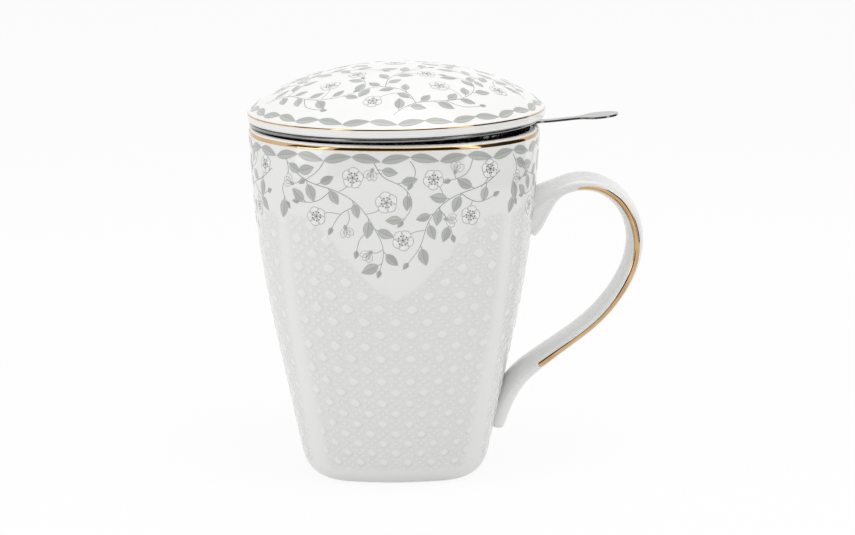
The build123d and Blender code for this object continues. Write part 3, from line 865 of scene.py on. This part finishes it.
# ============================================================ gilding
# Bright gold, banded on by brush over the glaze and fired last: one line round the mug's
# lip, one round the lid's crease, and one along each edge of the handle.
GILT_PROUD = 0.03 * MM
GILT_SUNK = -0.01 * MM             # the edges of a line end just under the glaze
GILT_COLUMNS = 256
LIP_GILT_RINGS = (                 # degrees up the lip's rounding, millimetres down from there
    (0, 0.25), (0, 0.12), (0, 0), (8, 0), (16, 0), (24, 0), (31, 0), (38, 0))
LID_GILT_ABOVE = 0.15 * MM         # width of the lid's line above its crease
LID_GILT_BELOW = 0.35 * MM
LID_GILT_STEPS = 6
HANDLE_GILT_START = 20.2 * MM
HANDLE_GILT_END = HANDLE_LENGTH - 23.0 * MM
HANDLE_GILT_HALF = 1.1 * MM
HANDLE_EDGE_RADIUS = 2.6 * MM
HANDLE_GILT_TIP = 0.012            # share of its length over which a stripe narrows to a tip
HANDLE_GILT_TIP_HALF = 0.08        # half width at the tip, as a share of the full one
HANDLE_GILT_THIN = 0.75            # the same at the upper end, over which it swells to the full one
HANDLE_GILT_STEPS = 120
HANDLE_GILT_ACROSS = 3             # faces to either side of a stripe's middle
GILT_SHARES = (0.0, 0.12, 0.3, 0.5, 1.0)
GILT_TURNS = (2.15, 1.86, 1.68, 1.42, 1.42)     # from the inner side of the strap's edge to its outer side


def gold_material():
    material, tree, shader = new_material("bright gold")
    place = node(tree, "ShaderNodeTexCoord").outputs["Object"]
    cloud = noise(tree, {"Vector": place, "Scale": 160.0})
    ramp = node(tree, "ShaderNodeValToRGB", {"Fac": cloud})
    dark, light = ramp.color_ramp.elements
    dark.position, dark.color = 0.3, (0.52, 0.32, 0.15, 1)
    light.position, light.color = 0.7, (0.68, 0.46, 0.25, 1)
    feed(tree, shader, {"Metallic": 1.0, "Base Color": ramp.outputs["Color"],
                        "Roughness": maths(tree, "MULTIPLY_ADD", cloud, 0.08, 0.04)})
    return material


bright_gold = gold_material()


def gild(name, body, points, faces):
    line = add_piece(name, points, faces)
    line.data.materials.append(bright_gold)
    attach(line, body)


def round_mug(half, corner, z, count):
    """Points round a rounded square at a height, from the middle of its front."""
    girth = side_girth(half, corner)
    spots = [on_ring(half, corner, 0, 4 * girth * k / count)[0] for k in range(count)]
    return [Vector((spot.x, spot.y, z)) for spot in spots]


# the mug's line covers the outer part of the lip's rounding and a little of the wall below
lip_rings = []
for number, (turn, drop) in enumerate(LIP_GILT_RINGS):
    lean = math.radians(turn)
    z = MUG_HEIGHT - LIP_ROUNDING * (1 - math.sin(lean)) - drop * MM
    proud = GILT_PROUD if 0 < number < len(LIP_GILT_RINGS) - 1 else GILT_SUNK
    inset = LIP_ROUNDING * (1 - math.cos(lean)) - proud * math.cos(lean)
    lip_rings.append(round_mug(
        half_width(z) - inset, corner_radius(z) - inset, z + proud * math.sin(lean), GILT_COLUMNS))
gild("lip_gold_line", "mug", *skin(lip_rings))


def along_outline(outline, low, high, steps):
    """Part of an outline between two lengths from its start, lifted off the surface except at its ends."""
    lengths = lengths_along(outline)
    part = []
    for step in range(steps + 1):
        target = low + (high - low) * step / steps
        i = max(k for k in range(len(outline) - 1) if lengths[k] <= target)
        near, far = Vector(outline[i]), Vector(outline[i + 1])
        run = (far - near).normalized()
        lift = GILT_SUNK if step in (0, steps) else GILT_PROUD
        part.append(tuple(near + run * (target - lengths[i]) + Vector((-run.y, run.x)) * lift))
    return part


dome_girth = crown_radius * crown_slope + flank_radius * 2 * flank_swing
lid_gold = along_outline(lid_line, dome_girth - LID_GILT_ABOVE, dome_girth + LID_GILT_BELOW, LID_GILT_STEPS)
gild("lid_gold_line", "lid", *skin(turned(lid_gold[::-1], GILT_COLUMNS, lid_place)))


def grid_faces(rows, columns, flip=False):
    """Faces of a grid of points that are listed row by row."""
    faces = []
    for here in range(columns * (rows - 1)):
        if (here + 1) % columns:
            ahead, beside = here + 1, here + columns
            faces.append((here, beside, beside + 1, ahead) if flip else (here, ahead, beside + 1, beside))
    return faces


gilt_bends = natural_spline(GILT_TURNS, GILT_SHARES)
for side, name in ((1, "front"), (-1, "back")):
    stripe = []
    for step in range(HANDLE_GILT_STEPS + 1):
        share = step / HANDLE_GILT_STEPS
        place = HANDLE_GILT_START + (HANDLE_GILT_END - HANDLE_GILT_START) * share
        taper = max(HANDLE_GILT_TIP_HALF, min(1.0, math.sqrt(min(share, 1 - share) / HANDLE_GILT_TIP)))
        reach = HANDLE_GILT_HALF * taper * min(1.0, HANDLE_GILT_THIN + share) / HANDLE_EDGE_RADIUS
        middle = spline_at(GILT_TURNS, GILT_SHARES, gilt_bends, share)
        for across in range(-HANDLE_GILT_ACROSS, HANDLE_GILT_ACROSS + 1):
            lift = GILT_SUNK if abs(across) == HANDLE_GILT_ACROSS else GILT_PROUD
            turn = middle + across / HANDLE_GILT_ACROSS * reach
            stripe.append(on_handle(place, side * turn, lift))
    faces = grid_faces(HANDLE_GILT_STEPS + 1, 2 * HANDLE_GILT_ACROSS + 1)
    gild("handle_gold_" + name, "mug", stripe, [face[::side] for face in faces])

# ============================================================ fired print
# A grey-green ceramic transfer, slid on before the last firing: a border of leaves under the
# mug's gold line and another above the lid's, garlands on the sides and sprays on the dome.
# It is drawn flat in millimetres, and each place in the drawing is a complex number.
BORDER_HEIGHT = 100.7 * MM         # middle of the mug's border
LID_BORDER_REACH = 2.9             # from the lid's crease to the middle of its border
BORDER_LEAVES = 34
BORDER_LEAF_START, BORDER_LEAF_LENGTH, BORDER_LEAF_WIDTH = -4.1 - 0.5j, 8.3, 2.6
BORDER_TILT = 0.16
BORDER_BAND = 3.0 * MM             # between the two rings that the border is laid on
MUG_BORDER_PROUD = 0.045 * MM
LID_BORDER_PROUD = 0.06 * MM
RING_POINTS = 256
LINE_LIFT, LEAF_LIFT, BUD_LIFT, PETAL_LIFT, OUTLINE_LIFT, TOP_LIFT = 0.02, 0.03, 0.035, 0.04, 0.045, 0.05
SLOPE_REACH = 0.5 * MM             # the wall's slope is taken this far above and below a place
LEAF, LINE, PETAL = 0, 1, 2        # what a mark is, and so its ink
ACROSS = (-1.0, -0.5, 0.0, 0.5, 1.0)
CURVE_STEP = 0.7
DOT_SIDES = 6
PETALS = 5
GARLAND_GAP, GARLAND_LEAF = 3.2, 5.0
LID_GAP, LID_LEAF = 3.5, 4.9
GARLAND_BUD = 3.1
LEAF_ROOM = 0.38                   # clear circle round a leaf, as a share of its length
STEM, STEM_TIP, LEAF_STALK, FLOWER_STALK = 0.24, 0.15, 0.2, 0.17        # thickness of the lines
PETAL_OUTLINE, BUD_OUTLINE, STAMEN, BUD_LINE = 0.13, 0.11, 0.09, 0.08
BUD_TIP, BUD_TIP_END = 0.4, 0.1
STAMEN_DOT, MIDDLE_DOT = 0.44, 0.5
LINE_TONE, DOT_TONE = 0.2, 2.4     # the higher, the darker
LEAF_LEAN, LEAN_SPREAD = 0.75, 0.15
LEAF_BREADTH = 0.56                # width as a share of the length
GARLAND_SEED, LID_SEED = 20, 11
HANDLE_ROOM = HANDLE_HALF_WIDTH / MM + 3    # the handle's side has no mark closer to its middle than
HANDLE_ROOM_TOP = 89                        # the first, unless it is higher than the second
GARLAND_STEMS = (
    ((-31, 97.2), (-25.5, 93.7), (-18, 91.5), (-10.5, 87.1), (-6, 80.5), (-3.5, 73.9), (-4.5, 68.2)),
    ((31, 95.9), (25.5, 92.4), (18.5, 90.2), (12, 86.2), (8.5, 80.5), (7, 75.6), (3.5, 70.4)),
    ((-6, 99.4), (-3.5, 95.4), (2, 92.4), (4.5, 87.5), (2, 82.7)),
    ((-18, 91.5), (-22.5, 88), (-28, 87.5)),
    ((18.5, 90.2), (23.5, 87.5), (28.5, 88.8)),
    ((-10.5, 87.1), (-15.5, 84.4), (-18, 80.5)),
    ((12, 86.2), (15, 81.8), (16, 78.3)),
    ((-6, 80.5), (-10, 77.4), (-11, 73.9)),
    ((-20, 99.8), (-22, 96.8), (-26, 93.9)),
    ((22, 99.8), (20.5, 96.3), (15.5, 94.1)),
    ((-33, 99.8), (-32, 95), (-34, 91), (-32.5, 87.1)),
    ((4, 99.8), (5.5, 96.8), (4.5, 93.7)),
)
GARLAND_BLOSSOMS = (               # middle, radius, turn, root of the stalk
    ((-12, 95), 3, 0.2, (-16, 91)),
    ((10.6, 94.4), 2.9, 0.9, (13.5, 87.3)),
    ((-2.6, 88), 3.1, 0.5, (-8.5, 84.6)),
    ((21.3, 83.7), 2.8, 0.1, (22, 88.1)),
    ((-22.6, 83.6), 2.8, 0.7, (-15.5, 84.4)),
    ((2, 77), 3, 1.1, (8.2, 79.9)),
    ((27.5, 96.6), 2.7, 0.4, (24.5, 91.7)),
)
GARLAND_BUDS = (                   # foot, heading, root of the stalk
    ((-6.5, 97.2), -1.9, (-3.8, 96.3)),
    ((16.8, 96.4), 1.2, (17, 94.6)),
    ((-14.2, 80.7), -1.3, (-13.4, 85.6)),
    ((14.2, 82.9), -0.2, (12.7, 85)),
    ((-30.5, 92.5), 2.7, (-27, 94.4)),
    ((-7.2, 73.5), -2.3, (-3.7, 74.4)),
)
LID_STEMS = (
    ((-1.1, -41), (5.4, -35.6), (14, -32.9), (21.6, -25.9), (21.6, -17.3), (14.6, -14.6)),
    ((14, -32.9), (19.4, -34.1), (24.3, -31.5)),
    ((5.4, -35.6), (2.7, -29.7), (-3.2, -25.9), (-10.3, -26.5)),
    ((-3.2, -25.9), (-1.6, -18.9), (3.2, -13), (9.7, -7)),
)
LID_BLOSSOMS = (
    ((12.4, -24.1), 3, 0.2, (18.9, -29.2)),
    ((-7, -34), 2.8, 0.8, (3, -30.2)),
    ((8.9, -14.6), 2.7, 0.5, (1.6, -14.7)),
)
LID_SPRAYS = 5
LID_MIDDLE_FLOWER = 3.2
# circles that no leaf of a stem may reach into: along each border, and round the lid's middle flower
GARLAND_CLEAR = [(complex(3 * k, 101.3), 1.3) for k in range(-12, 13)]
LID_CLEAR = [(0j, LID_MIDDLE_FLOWER)] + [(cmath.rect(43.6, math.pi * k / 40), 1.6) for k in range(80)]


def blade(at, heading, length, width, kind=LEAF, full=0.85, bend=0.0, tone=0.5, rows=8, lift=LEAF_LIFT):
    """A leaf or petal as a small grid of points, each with its place along and across it."""
    turn = cmath.rect(1.0, heading)
    points, values = [], []
    for row in range(rows + 1):
        along = row / rows
        half = width / 2 * math.sin(math.pi * along ** full) ** (0.9 if kind == LEAF else 0.6)
        for across in ACROSS:
            spot = complex(along * length, across * half + bend * length * along * (1 - along))
            points.append((at + spot * turn, lift))
            values.append((along, across, tone))
    return points, values, grid_faces(rows + 1, len(ACROSS), flip=True), kind


def line(path, thick, end=None, lift=LINE_LIFT):
    """A drawn line of even thickness, or one that thins out to a second thickness at its end."""
    points, values = [], []
    for index, spot in enumerate(path):
        near, far = path[max(0, index - 1)], path[min(len(path) - 1, index + 1)]
        across = (far - near) / abs(far - near) * 1j
        share = index / (len(path) - 1)
        half = (thick + ((thick if end is None else end) - thick) * share) / 2
        points += [(spot - across * half, lift), (spot + across * half, lift)]
        values += [(share, -0.5, LINE_TONE)] * 2
    return points, values, grid_faces(len(path), 2, flip=True), LINE


def dot(at, size):
    points = [(at + cmath.rect(size / 2, 2 * math.pi * k / DOT_SIDES), TOP_LIFT) for k in range(DOT_SIDES)]
    return points, [(0.5, 0.5, DOT_TONE)] * DOT_SIDES, [tuple(range(DOT_SIDES))], LINE


def smooth(spots):
    """Points at even steps on a smooth curve through a few given ones."""
    length, place = curve_through([(spot.real, spot.imag) for spot in spots])
    count = max(2, round(length / CURVE_STEP))
    return [complex(*place(length * step / count)) for step in range(count + 1)]


def stalk(root, at, bow):
    """A thin curved stalk; bow is how far its middle swings out to the left."""
    return line(smooth([root, (root + at) / 2 + bow * 1j * (at - root), at]), FLOWER_STALK)


def rim_line(mark, thick):
    """A thin outline round a leaf or petal."""
    spots = [point for point, lift in mark[0]]
    last = len(ACROSS) - 1
    return line(spots[last::last + 1] + spots[::-1][last::last + 1], thick, lift=OUTLINE_LIFT)


def leafy(spots, gap, size, dice, taken, side):
    """A stem with leaves to either side by turns where there is room, and a closed bud at its tip."""
    path = smooth(spots)
    marks = [line(path, STEM, STEM_TIP)]
    reach, due = 0.0, 0.7 * gap
    for near, far in zip(path, path[1:]):
        reach += abs(far - near)
        if reach < due:
            continue
        heading = cmath.phase(far - near) + side * (LEAF_LEAN + dice.uniform(-LEAN_SPREAD, LEAN_SPREAD))
        foot = near + cmath.rect(dice.uniform(0.7, 1.2), heading)
        length = size * dice.uniform(0.86, 1.1)
        middle, room = foot + cmath.rect(length / 2, heading), LEAF_ROOM * length
        side, due = -side, reach + gap * dice.uniform(0.85, 1.15)
        if all(abs(middle - other) > width + room for other, width in taken):
            taken.append((middle, room))
            marks.append(line([near, foot], LEAF_STALK))
            tone = dice.uniform(0, 1)
            marks.append(blade(foot, heading, length, length * LEAF_BREADTH, bend=0.1 * side, tone=tone))
    heading = cmath.phase(path[-1] - path[-2])
    bud = blade(path[-1], heading, 0.5 * size, 0.3 * size, full=0.7, tone=1.0, rows=5)
    tip = path[-1] + cmath.rect(0.3 * size, heading)
    return marks + [bud, line([path[-1], tip], BUD_TIP, BUD_TIP_END, lift=TOP_LIFT)]


def blossom(at, radius, turn):
    """An open flower of five round petals, with a ring of stamens."""
    marks = []
    for k in range(PETALS):
        heading = turn + 2 * math.pi * k / PETALS
        foot = at + cmath.rect(0.12 * radius, heading)
        petal = blade(foot, heading, 0.9 * radius, 0.98 * radius, PETAL, full=1.35, rows=6, lift=PETAL_LIFT)
        marks += [petal, rim_line(petal, PETAL_OUTLINE)]
        for spread in (-0.3, 0.3):
            foot, tip = (at + cmath.rect(share * radius, heading + spread) for share in (0.15, 0.46))
            marks += [line([foot, tip], STAMEN, lift=OUTLINE_LIFT), dot(tip, STAMEN_DOT)]
    return marks + [dot(at, MIDDLE_DOT)]


def half_open(at, heading, size):
    """A flower bud beginning to open: three petals in a fan from a small cup."""
    marks = []
    for spread in (-0.55, 0.55, 0.0):
        petal = blade(at, heading + spread, size, 0.62 * size, PETAL, full=1.3, rows=5, lift=BUD_LIFT)
        marks += [petal, rim_line(petal, BUD_OUTLINE)]
        for side in (-0.14, 0.14):
            ends = [at + cmath.rect(share * size, heading + spread + side) for share in (0.2, 0.75)]
            marks.append(line(ends, BUD_LINE, lift=OUTLINE_LIFT))
    cup = at - cmath.rect(0.25 * size, heading)
    return marks + [blade(cup, heading, 0.5 * size, 0.34 * size, tone=1.0, rows=4, lift=TOP_LIFT)]


def flowering(blossoms, taken, turn=1):
    """Blossoms on their stalks; turn carries them round the middle of the drawing."""
    marks = []
    for spot, radius, face, root in blossoms:
        at = complex(*spot) * turn
        marks += [stalk(complex(*root) * turn, at, -0.12)] + blossom(at, radius, face + cmath.phase(turn))
        taken.append((at, radius))
    return marks


def garland_marks(dice):
    marks, taken = [], list(GARLAND_CLEAR)
    for spot, heading, root in GARLAND_BUDS:
        at = complex(*spot)
        marks += [stalk(complex(*root), at, 0.15)] + half_open(at, heading, GARLAND_BUD)
        taken.append((at + cmath.rect(1.6, heading), 1.6))
    marks += flowering(GARLAND_BLOSSOMS, taken)
    for number, stem in enumerate(GARLAND_STEMS):
        spots = [complex(*spot) for spot in stem]
        marks += leafy(spots, GARLAND_GAP, GARLAND_LEAF, dice, taken, (-1) ** number)
    return marks


def lid_marks(dice):
    """Five sprays round the dome and one flower on its top, on a flat plan of the lid."""
    marks, taken = blossom(0j, LID_MIDDLE_FLOWER, 0.3), list(LID_CLEAR)
    turns = [cmath.rect(1, 2 * math.pi * k / LID_SPRAYS) for k in range(LID_SPRAYS)]
    for turn in turns:
        marks += flowering(LID_BLOSSOMS, taken, turn)
    for turn in turns:
        for number, stem in enumerate(LID_STEMS):
            spots = [complex(*spot) * turn for spot in stem]
            marks += leafy(spots, LID_GAP, LID_LEAF, dice, taken, (-1) ** number)
    return marks


def leaf_print_group():
    """Grey of the transfer: shaded halves, a mid vein, slanting side veins and a firm edge."""
    group, given, made = new_tree("leaf print", "ShaderNodeTree", [
        ("Pale", "Color", (0.5, 0.5, 0.5, 1)), ("Deep", "Color", (0.3, 0.3, 0.3, 1)),
        ("Veins", "Float", 1.0)], FINISH[:1])
    along, across, tone = stored(group, "leaf")
    wide = maths(group, "ABSOLUTE", across)
    slant = maths(group, "MULTIPLY", maths(group, "MULTIPLY_ADD", wide, -0.16, along), 9.0)
    mid_vein = maths(group, "LESS_THAN", wide, 0.09)
    side_veins = maths(group, "LESS_THAN", maths(group, "PINGPONG", slant, 0.5), 0.11)
    edge = maths(group, "GREATER_THAN", wide, 0.86)
    ink = maths(group, "MAXIMUM", mid_vein, maths(group, "MULTIPLY", side_veins, 0.4))
    ink = maths(group, "MAXIMUM", ink, maths(group, "MULTIPLY", edge, 0.7))
    half = maths(group, "MULTIPLY", maths(group, "GREATER_THAN", across, 0.0), 0.25)
    shade = maths(group, "MULTIPLY_ADD", tone, 0.33, half)
    share = maths(group, "MAXIMUM", maths(group, "MULTIPLY", ink, given["Veins"]), shade)
    feed(group, made, {"Colour": blend(group, share, given["Pale"], given["Deep"])})
    return group


LEAF_PRINT = leaf_print_group()


def printed(name, pale, deep, veins):
    material, tree, shader = new_material(name)
    ink = placed(tree, LEAF_PRINT, {"Pale": (*pale, 1), "Deep": (*deep, 1), "Veins": veins})
    glaze = placed(tree, GLAZE)
    feed(tree, shader, {"Base Color": ink["Colour"], "Roughness": glaze["Roughness"], "IOR": GLAZE_IOR})
    return material


PRINT_INKS = (
    printed("leaf grey", (0.5, 0.51, 0.475), (0.27, 0.28, 0.265), 0.75),
    printed("line grey", (0.34, 0.35, 0.335), (0.07, 0.07, 0.07), 0.0),
    printed("petal white", (0.84, 0.84, 0.83), (0.66, 0.67, 0.66), 0.25),
)


def fired(name, placed_marks):
    """One thin sheet of print from flat marks, each with the surface that it is laid on."""
    points, values, faces, kinds = [], [], [], []
    for (spots, drawn, cells, kind), place in placed_marks:
        start = len(points)
        points += [place(spot, lift) for spot, lift in spots]
        values += drawn
        faces += [[start + corner for corner in cell] for cell in cells]
        kinds += [kind] * len(cells)
    piece = add_piece(name, points, faces)
    keep_values(piece, "leaf", values)
    for ink in PRINT_INKS:
        piece.data.materials.append(ink)
    piece.data.polygons.foreach_set("material_index", kinds)
    return piece


def on_side(side):
    """Lays a drawing on a side of the mug, across from its middle and up from the foot."""
    def place(spot, lift):
        z = spot.imag * MM
        point, out = on_ring(half_width(z), corner_radius(z), side, spot.real * MM)
        upper, lower = min(MUG_HEIGHT, z + SLOPE_REACH), z - SLOPE_REACH
        slope = (half_width(upper) - half_width(lower)) / (upper - lower)
        return Vector((point.x, point.y, z)) + Vector((out.x, out.y, -slope)).normalized() * lift * MM
    return place


def on_lid(spot, lift):
    """A place on the lid's dome, from a plan whose distances from the middle run along the dome."""
    reach, crown_girth = abs(spot) * MM, crown_radius * crown_slope
    if reach < crown_girth:
        turn, centre, radius = reach / crown_radius, (0.0, lid_top - crown_radius), crown_radius
    else:
        turn, centre, radius = crown_slope + (reach - crown_girth) / flank_radius, flank_centre, flank_radius
    radius += lift * MM
    along = cmath.rect(centre[0] + radius * math.sin(turn), cmath.phase(spot))
    return lid_place @ Vector((along.real, along.imag, centre[1] + radius * math.cos(turn)))


garlands = []
for side in range(4):
    for mark in garland_marks(random.Random(GARLAND_SEED + side)):
        middle = sum(spot for spot, lift in mark[0]) / len(mark[0])
        if side != 1 or abs(middle.real) > HANDLE_ROOM or middle.imag > HANDLE_ROOM_TOP:
            garlands.append((mark, on_side(side)))
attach(fired("side_garlands", garlands), "mug")
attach(fired("lid_sprays", [(mark, on_lid) for mark in lid_marks(random.Random(LID_SEED))]), "lid")


def border_tree():
    """Leaves in a row, tilted by turns and laid on the surface between a low and a high ring."""
    tree, given, made = growing_tree("leaf border", [
        ("Low Ring", "Object", None), ("High Ring", "Object", None), ("Leaf", "Object", None),
        ("Leaves", "Int", 30), ("Tilt", "Float", 0.1), ("Band", "Float", 0.003), ("Proud", "Float", 0.00003),
        ("Ink", "Material", None)])
    low, high = (node(tree, "GeometryNodeMeshToCurve", {"Mesh": shape_of(tree, given[label])}).outputs[0]
                 for label in ("Low Ring", "High Ring"))
    girth = node(tree, "GeometryNodeCurveLength", {0: low}).outputs[0]
    step = xyz(tree, maths(tree, "DIVIDE", girth, given["Leaves"]))
    row = node(tree, "GeometryNodeMeshLine", {"Count": given["Leaves"], "Offset": step}).outputs[0]
    number = node(tree, "GeometryNodeInputIndex").outputs[0]
    by_turns = maths(tree, "MULTIPLY_ADD", maths(tree, "MODULO", number, 2.0), -2.0, 1.0)
    spin = xyz(tree, 0.0, 0.0, maths(tree, "MULTIPLY", by_turns, given["Tilt"]))
    flat = copied(tree, shape_of(tree, given["Leaf"]), row, {"Rotation": spin})
    x, y = position(tree)[:2]
    # each point's share of the way round finds its place on both rings
    share = maths(tree, "WRAP", maths(tree, "DIVIDE", x, girth), 1.0, 0.0)
    samples = [{"Curves": ring, "Factor": share} for ring in (low, high)]
    below, above = (node(tree, "GeometryNodeSampleCurve", sample, mode="FACTOR").outputs for sample in samples)
    rise = vectors(tree, "SUBTRACT", above["Position"], below["Position"])
    out = vectors(tree, "NORMALIZE", vectors(tree, "CROSS_PRODUCT", below["Tangent"], rise))
    height = maths(tree, "ADD", maths(tree, "DIVIDE", y, given["Band"]), 0.5)
    up, proud = vectors(tree, "SCALE", rise, height), vectors(tree, "SCALE", out, given["Proud"])
    place = vectors(tree, "ADD", below["Position"], vectors(tree, "ADD", up, proud))
    return end_with(tree, made, moved(tree, flat, place), given["Ink"])


def mug_ring(height):
    z = BORDER_HEIGHT + height
    return round_mug(half_width(z), corner_radius(z), z, RING_POINTS)


def lid_ring(height):
    reach = dome_girth / MM - LID_BORDER_REACH - height / MM
    return [on_lid(cmath.rect(reach, 2 * math.pi * k / RING_POINTS), 0.0) for k in range(RING_POINTS)]


border = border_tree()
leaf_mark = blade(BORDER_LEAF_START, 0.0, BORDER_LEAF_LENGTH, BORDER_LEAF_WIDTH, full=0.8, bend=0.12, rows=12)
border_leaf = fired("border_leaf", [(leaf_mark, lambda spot, lift: (spot.real * MM, spot.imag * MM, 0))])
for name, body, ring, proud in (("mug_leaf_border", "mug", mug_ring, MUG_BORDER_PROUD),
                                ("lid_leaf_border", "lid", lid_ring, LID_BORDER_PROUD)):
    edges = [(k, (k + 1) % RING_POINTS) for k in range(RING_POINTS)]
    low, high = (add_piece("guide", ring(height), [], edges) for height in (-BORDER_BAND / 2, BORDER_BAND / 2))
    leaves = grown(name, border, {
        "Low Ring": low, "High Ring": high, "Leaf": border_leaf, "Leaves": BORDER_LEAVES, "Tilt": BORDER_TILT,
        "Band": BORDER_BAND, "Proud": proud, "Ink": PRINT_INKS[LEAF]})
    leaves.data.shade_smooth()
    bpy.data.objects.remove(low)
    bpy.data.objects.remove(high)
    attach(leaves, body)
bpy.data.objects.remove(border_leaf)

# ============================================================ floor, light and camera
# A white table and backdrop, three soft lights, and three dark cards that are seen only in
# reflections, for the steel and the gold.  The camera looks a little down on the mug.
CAMERA_DISTANCE = 650 * MM
CAMERA_RISE = math.radians(12.24)
CAMERA_SWING = math.radians(0.5)
CAMERA_ROLL = math.radians(-0.23)
CAMERA_LENS = 91.06
CAMERA_SHIFT = (0.0384, 0.0015)
AIM_HEIGHT = 60 * MM
FLOOR_HALF = 3.0
PAPER_GLOW = 0.92
WORLD_GREY = 0.64
BLACK_CLOTH = 0.012
CLOTH_AND_PAPER_ROUGHNESS = 0.9
FLAG_DISTANCE = 0.45
FLAG_STEPS = 16
camera_data = bpy.data.cameras.new("camera")
camera_data.lens = CAMERA_LENS
camera_data.shift_x, camera_data.shift_y = CAMERA_SHIFT
camera = bpy.data.objects.new("camera", camera_data)
bpy.context.scene.collection.objects.link(camera)
away = CAMERA_DISTANCE * math.cos(CAMERA_RISE)
above = AIM_HEIGHT + CAMERA_DISTANCE * math.sin(CAMERA_RISE)
camera.location = (-away * math.sin(CAMERA_SWING), -away * math.cos(CAMERA_SWING), above)
aim = Matrix.Rotation(-CAMERA_SWING, 3, "Z") @ Matrix.Rotation(math.pi / 2 - CAMERA_RISE, 3, "X")
camera.rotation_euler = (aim @ Matrix.Rotation(CAMERA_ROLL, 3, "Z")).to_euler()
bpy.context.scene.camera = camera


def seen_or_mirrored(tree):
    """1 for rays from the camera and for mirrored or transmitted ones, 0 for those that only carry light."""
    path = node(tree, "ShaderNodeLightPath").outputs
    direct = maths(tree, "MAXIMUM", path["Is Camera Ray"], path["Is Glossy Ray"])
    return maths(tree, "MAXIMUM", direct, path["Is Transmission Ray"])


def surface(tree, end, share, first, second):
    """End a tree with a mix of two shaders."""
    mixed = node(tree, "ShaderNodeMixShader", {"Fac": share, 1: first, 2: second}).outputs[0]
    feed(tree, tree.nodes[end].inputs, {"Surface": mixed})


corners = [(x * FLOOR_HALF, y * FLOOR_HALF, 0) for x, y in ((-1, -1), (1, -1), (1, 1), (-1, 1))]
floor = add_piece("floor", corners, [(0, 1, 2, 3)])
paper, paper_tree, paper_shader = new_material("white paper")
feed(paper_tree, paper_shader, {
    "Base Color": (0.86, 0.86, 0.86, 1), "Roughness": CLOTH_AND_PAPER_ROUGHNESS, "Specular IOR Level": 0.1})
glow = node(paper_tree, "ShaderNodeEmission", {"Color": (1, 1, 1, 1), "Strength": 1.0}).outputs[0]
lit = maths(paper_tree, "MULTIPLY", seen_or_mirrored(paper_tree), PAPER_GLOW)
surface(paper_tree, "Material Output", lit, paper_tree.nodes["Principled BSDF"].outputs[0], glow)
floor.data.materials.append(paper)

world = bpy.data.worlds.new("studio")
bpy.context.scene.world = world
world.use_nodes = True
sky = world.node_tree
grey_back = sky.nodes["Background"]
feed(sky, grey_back.inputs, {"Color": (WORLD_GREY, WORLD_GREY, WORLD_GREY, 1)})
white_back = node(sky, "ShaderNodeBackground", {"Color": (1, 1, 1, 1)})
surface(sky, "World Output", seen_or_mirrored(sky), grey_back.outputs[0], white_back.outputs[0])


def soft_light(name, place, size, power):
    lamp = bpy.data.lights.new(name, "AREA")
    lamp.shape = "RECTANGLE"
    lamp.size, lamp.size_y = size
    lamp.energy = power
    light = bpy.data.objects.new(name, lamp)
    light.location = place
    light.rotation_euler = (Vector((0, 0, AIM_HEIGHT)) - Vector(place)).to_track_quat("-Z", "Y").to_euler()
    bpy.context.scene.collection.objects.link(light)


soft_light("overhead", (0.1, -0.1, 0.9), (0.7, 0.7), 3.1)
soft_light("left", (-0.8, -0.5, 0.4), (0.5, 0.7), 2.3)
soft_light("right", (0.8, -0.4, 0.5), (0.5, 0.7), 1.5)


def dark_flag(name, azimuths, heights):
    """Black cloth on a stand in front of the object, seen only in reflections."""
    start, end = azimuths
    turns = [math.radians(start + (end - start) * k / FLAG_STEPS) for k in range(FLAG_STEPS + 1)]
    points = [(FLAG_DISTANCE * math.sin(turn), -FLAG_DISTANCE * math.cos(turn), height)
              for height in heights for turn in turns]
    flag = add_piece(name, points, grid_faces(2, FLAG_STEPS + 1))
    cloth, tree, shader = new_material(name)
    feed(tree, shader, {
        "Base Color": (BLACK_CLOTH, BLACK_CLOTH, BLACK_CLOTH, 1), "Roughness": CLOTH_AND_PAPER_ROUGHNESS})
    flag.data.materials.append(cloth)
    flag.visible_camera = flag.visible_diffuse = flag.visible_shadow = flag.visible_transmission = False


dark_flag("flag_middle", (-34, 38), (0.0, 0.6))
dark_flag("flag_right", (58, 116), (0.0, 0.55))
dark_flag("flag_left", (-84, -50), (0.2, 0.5))

bpy.context.scene.view_settings.view_transform = "Standard"
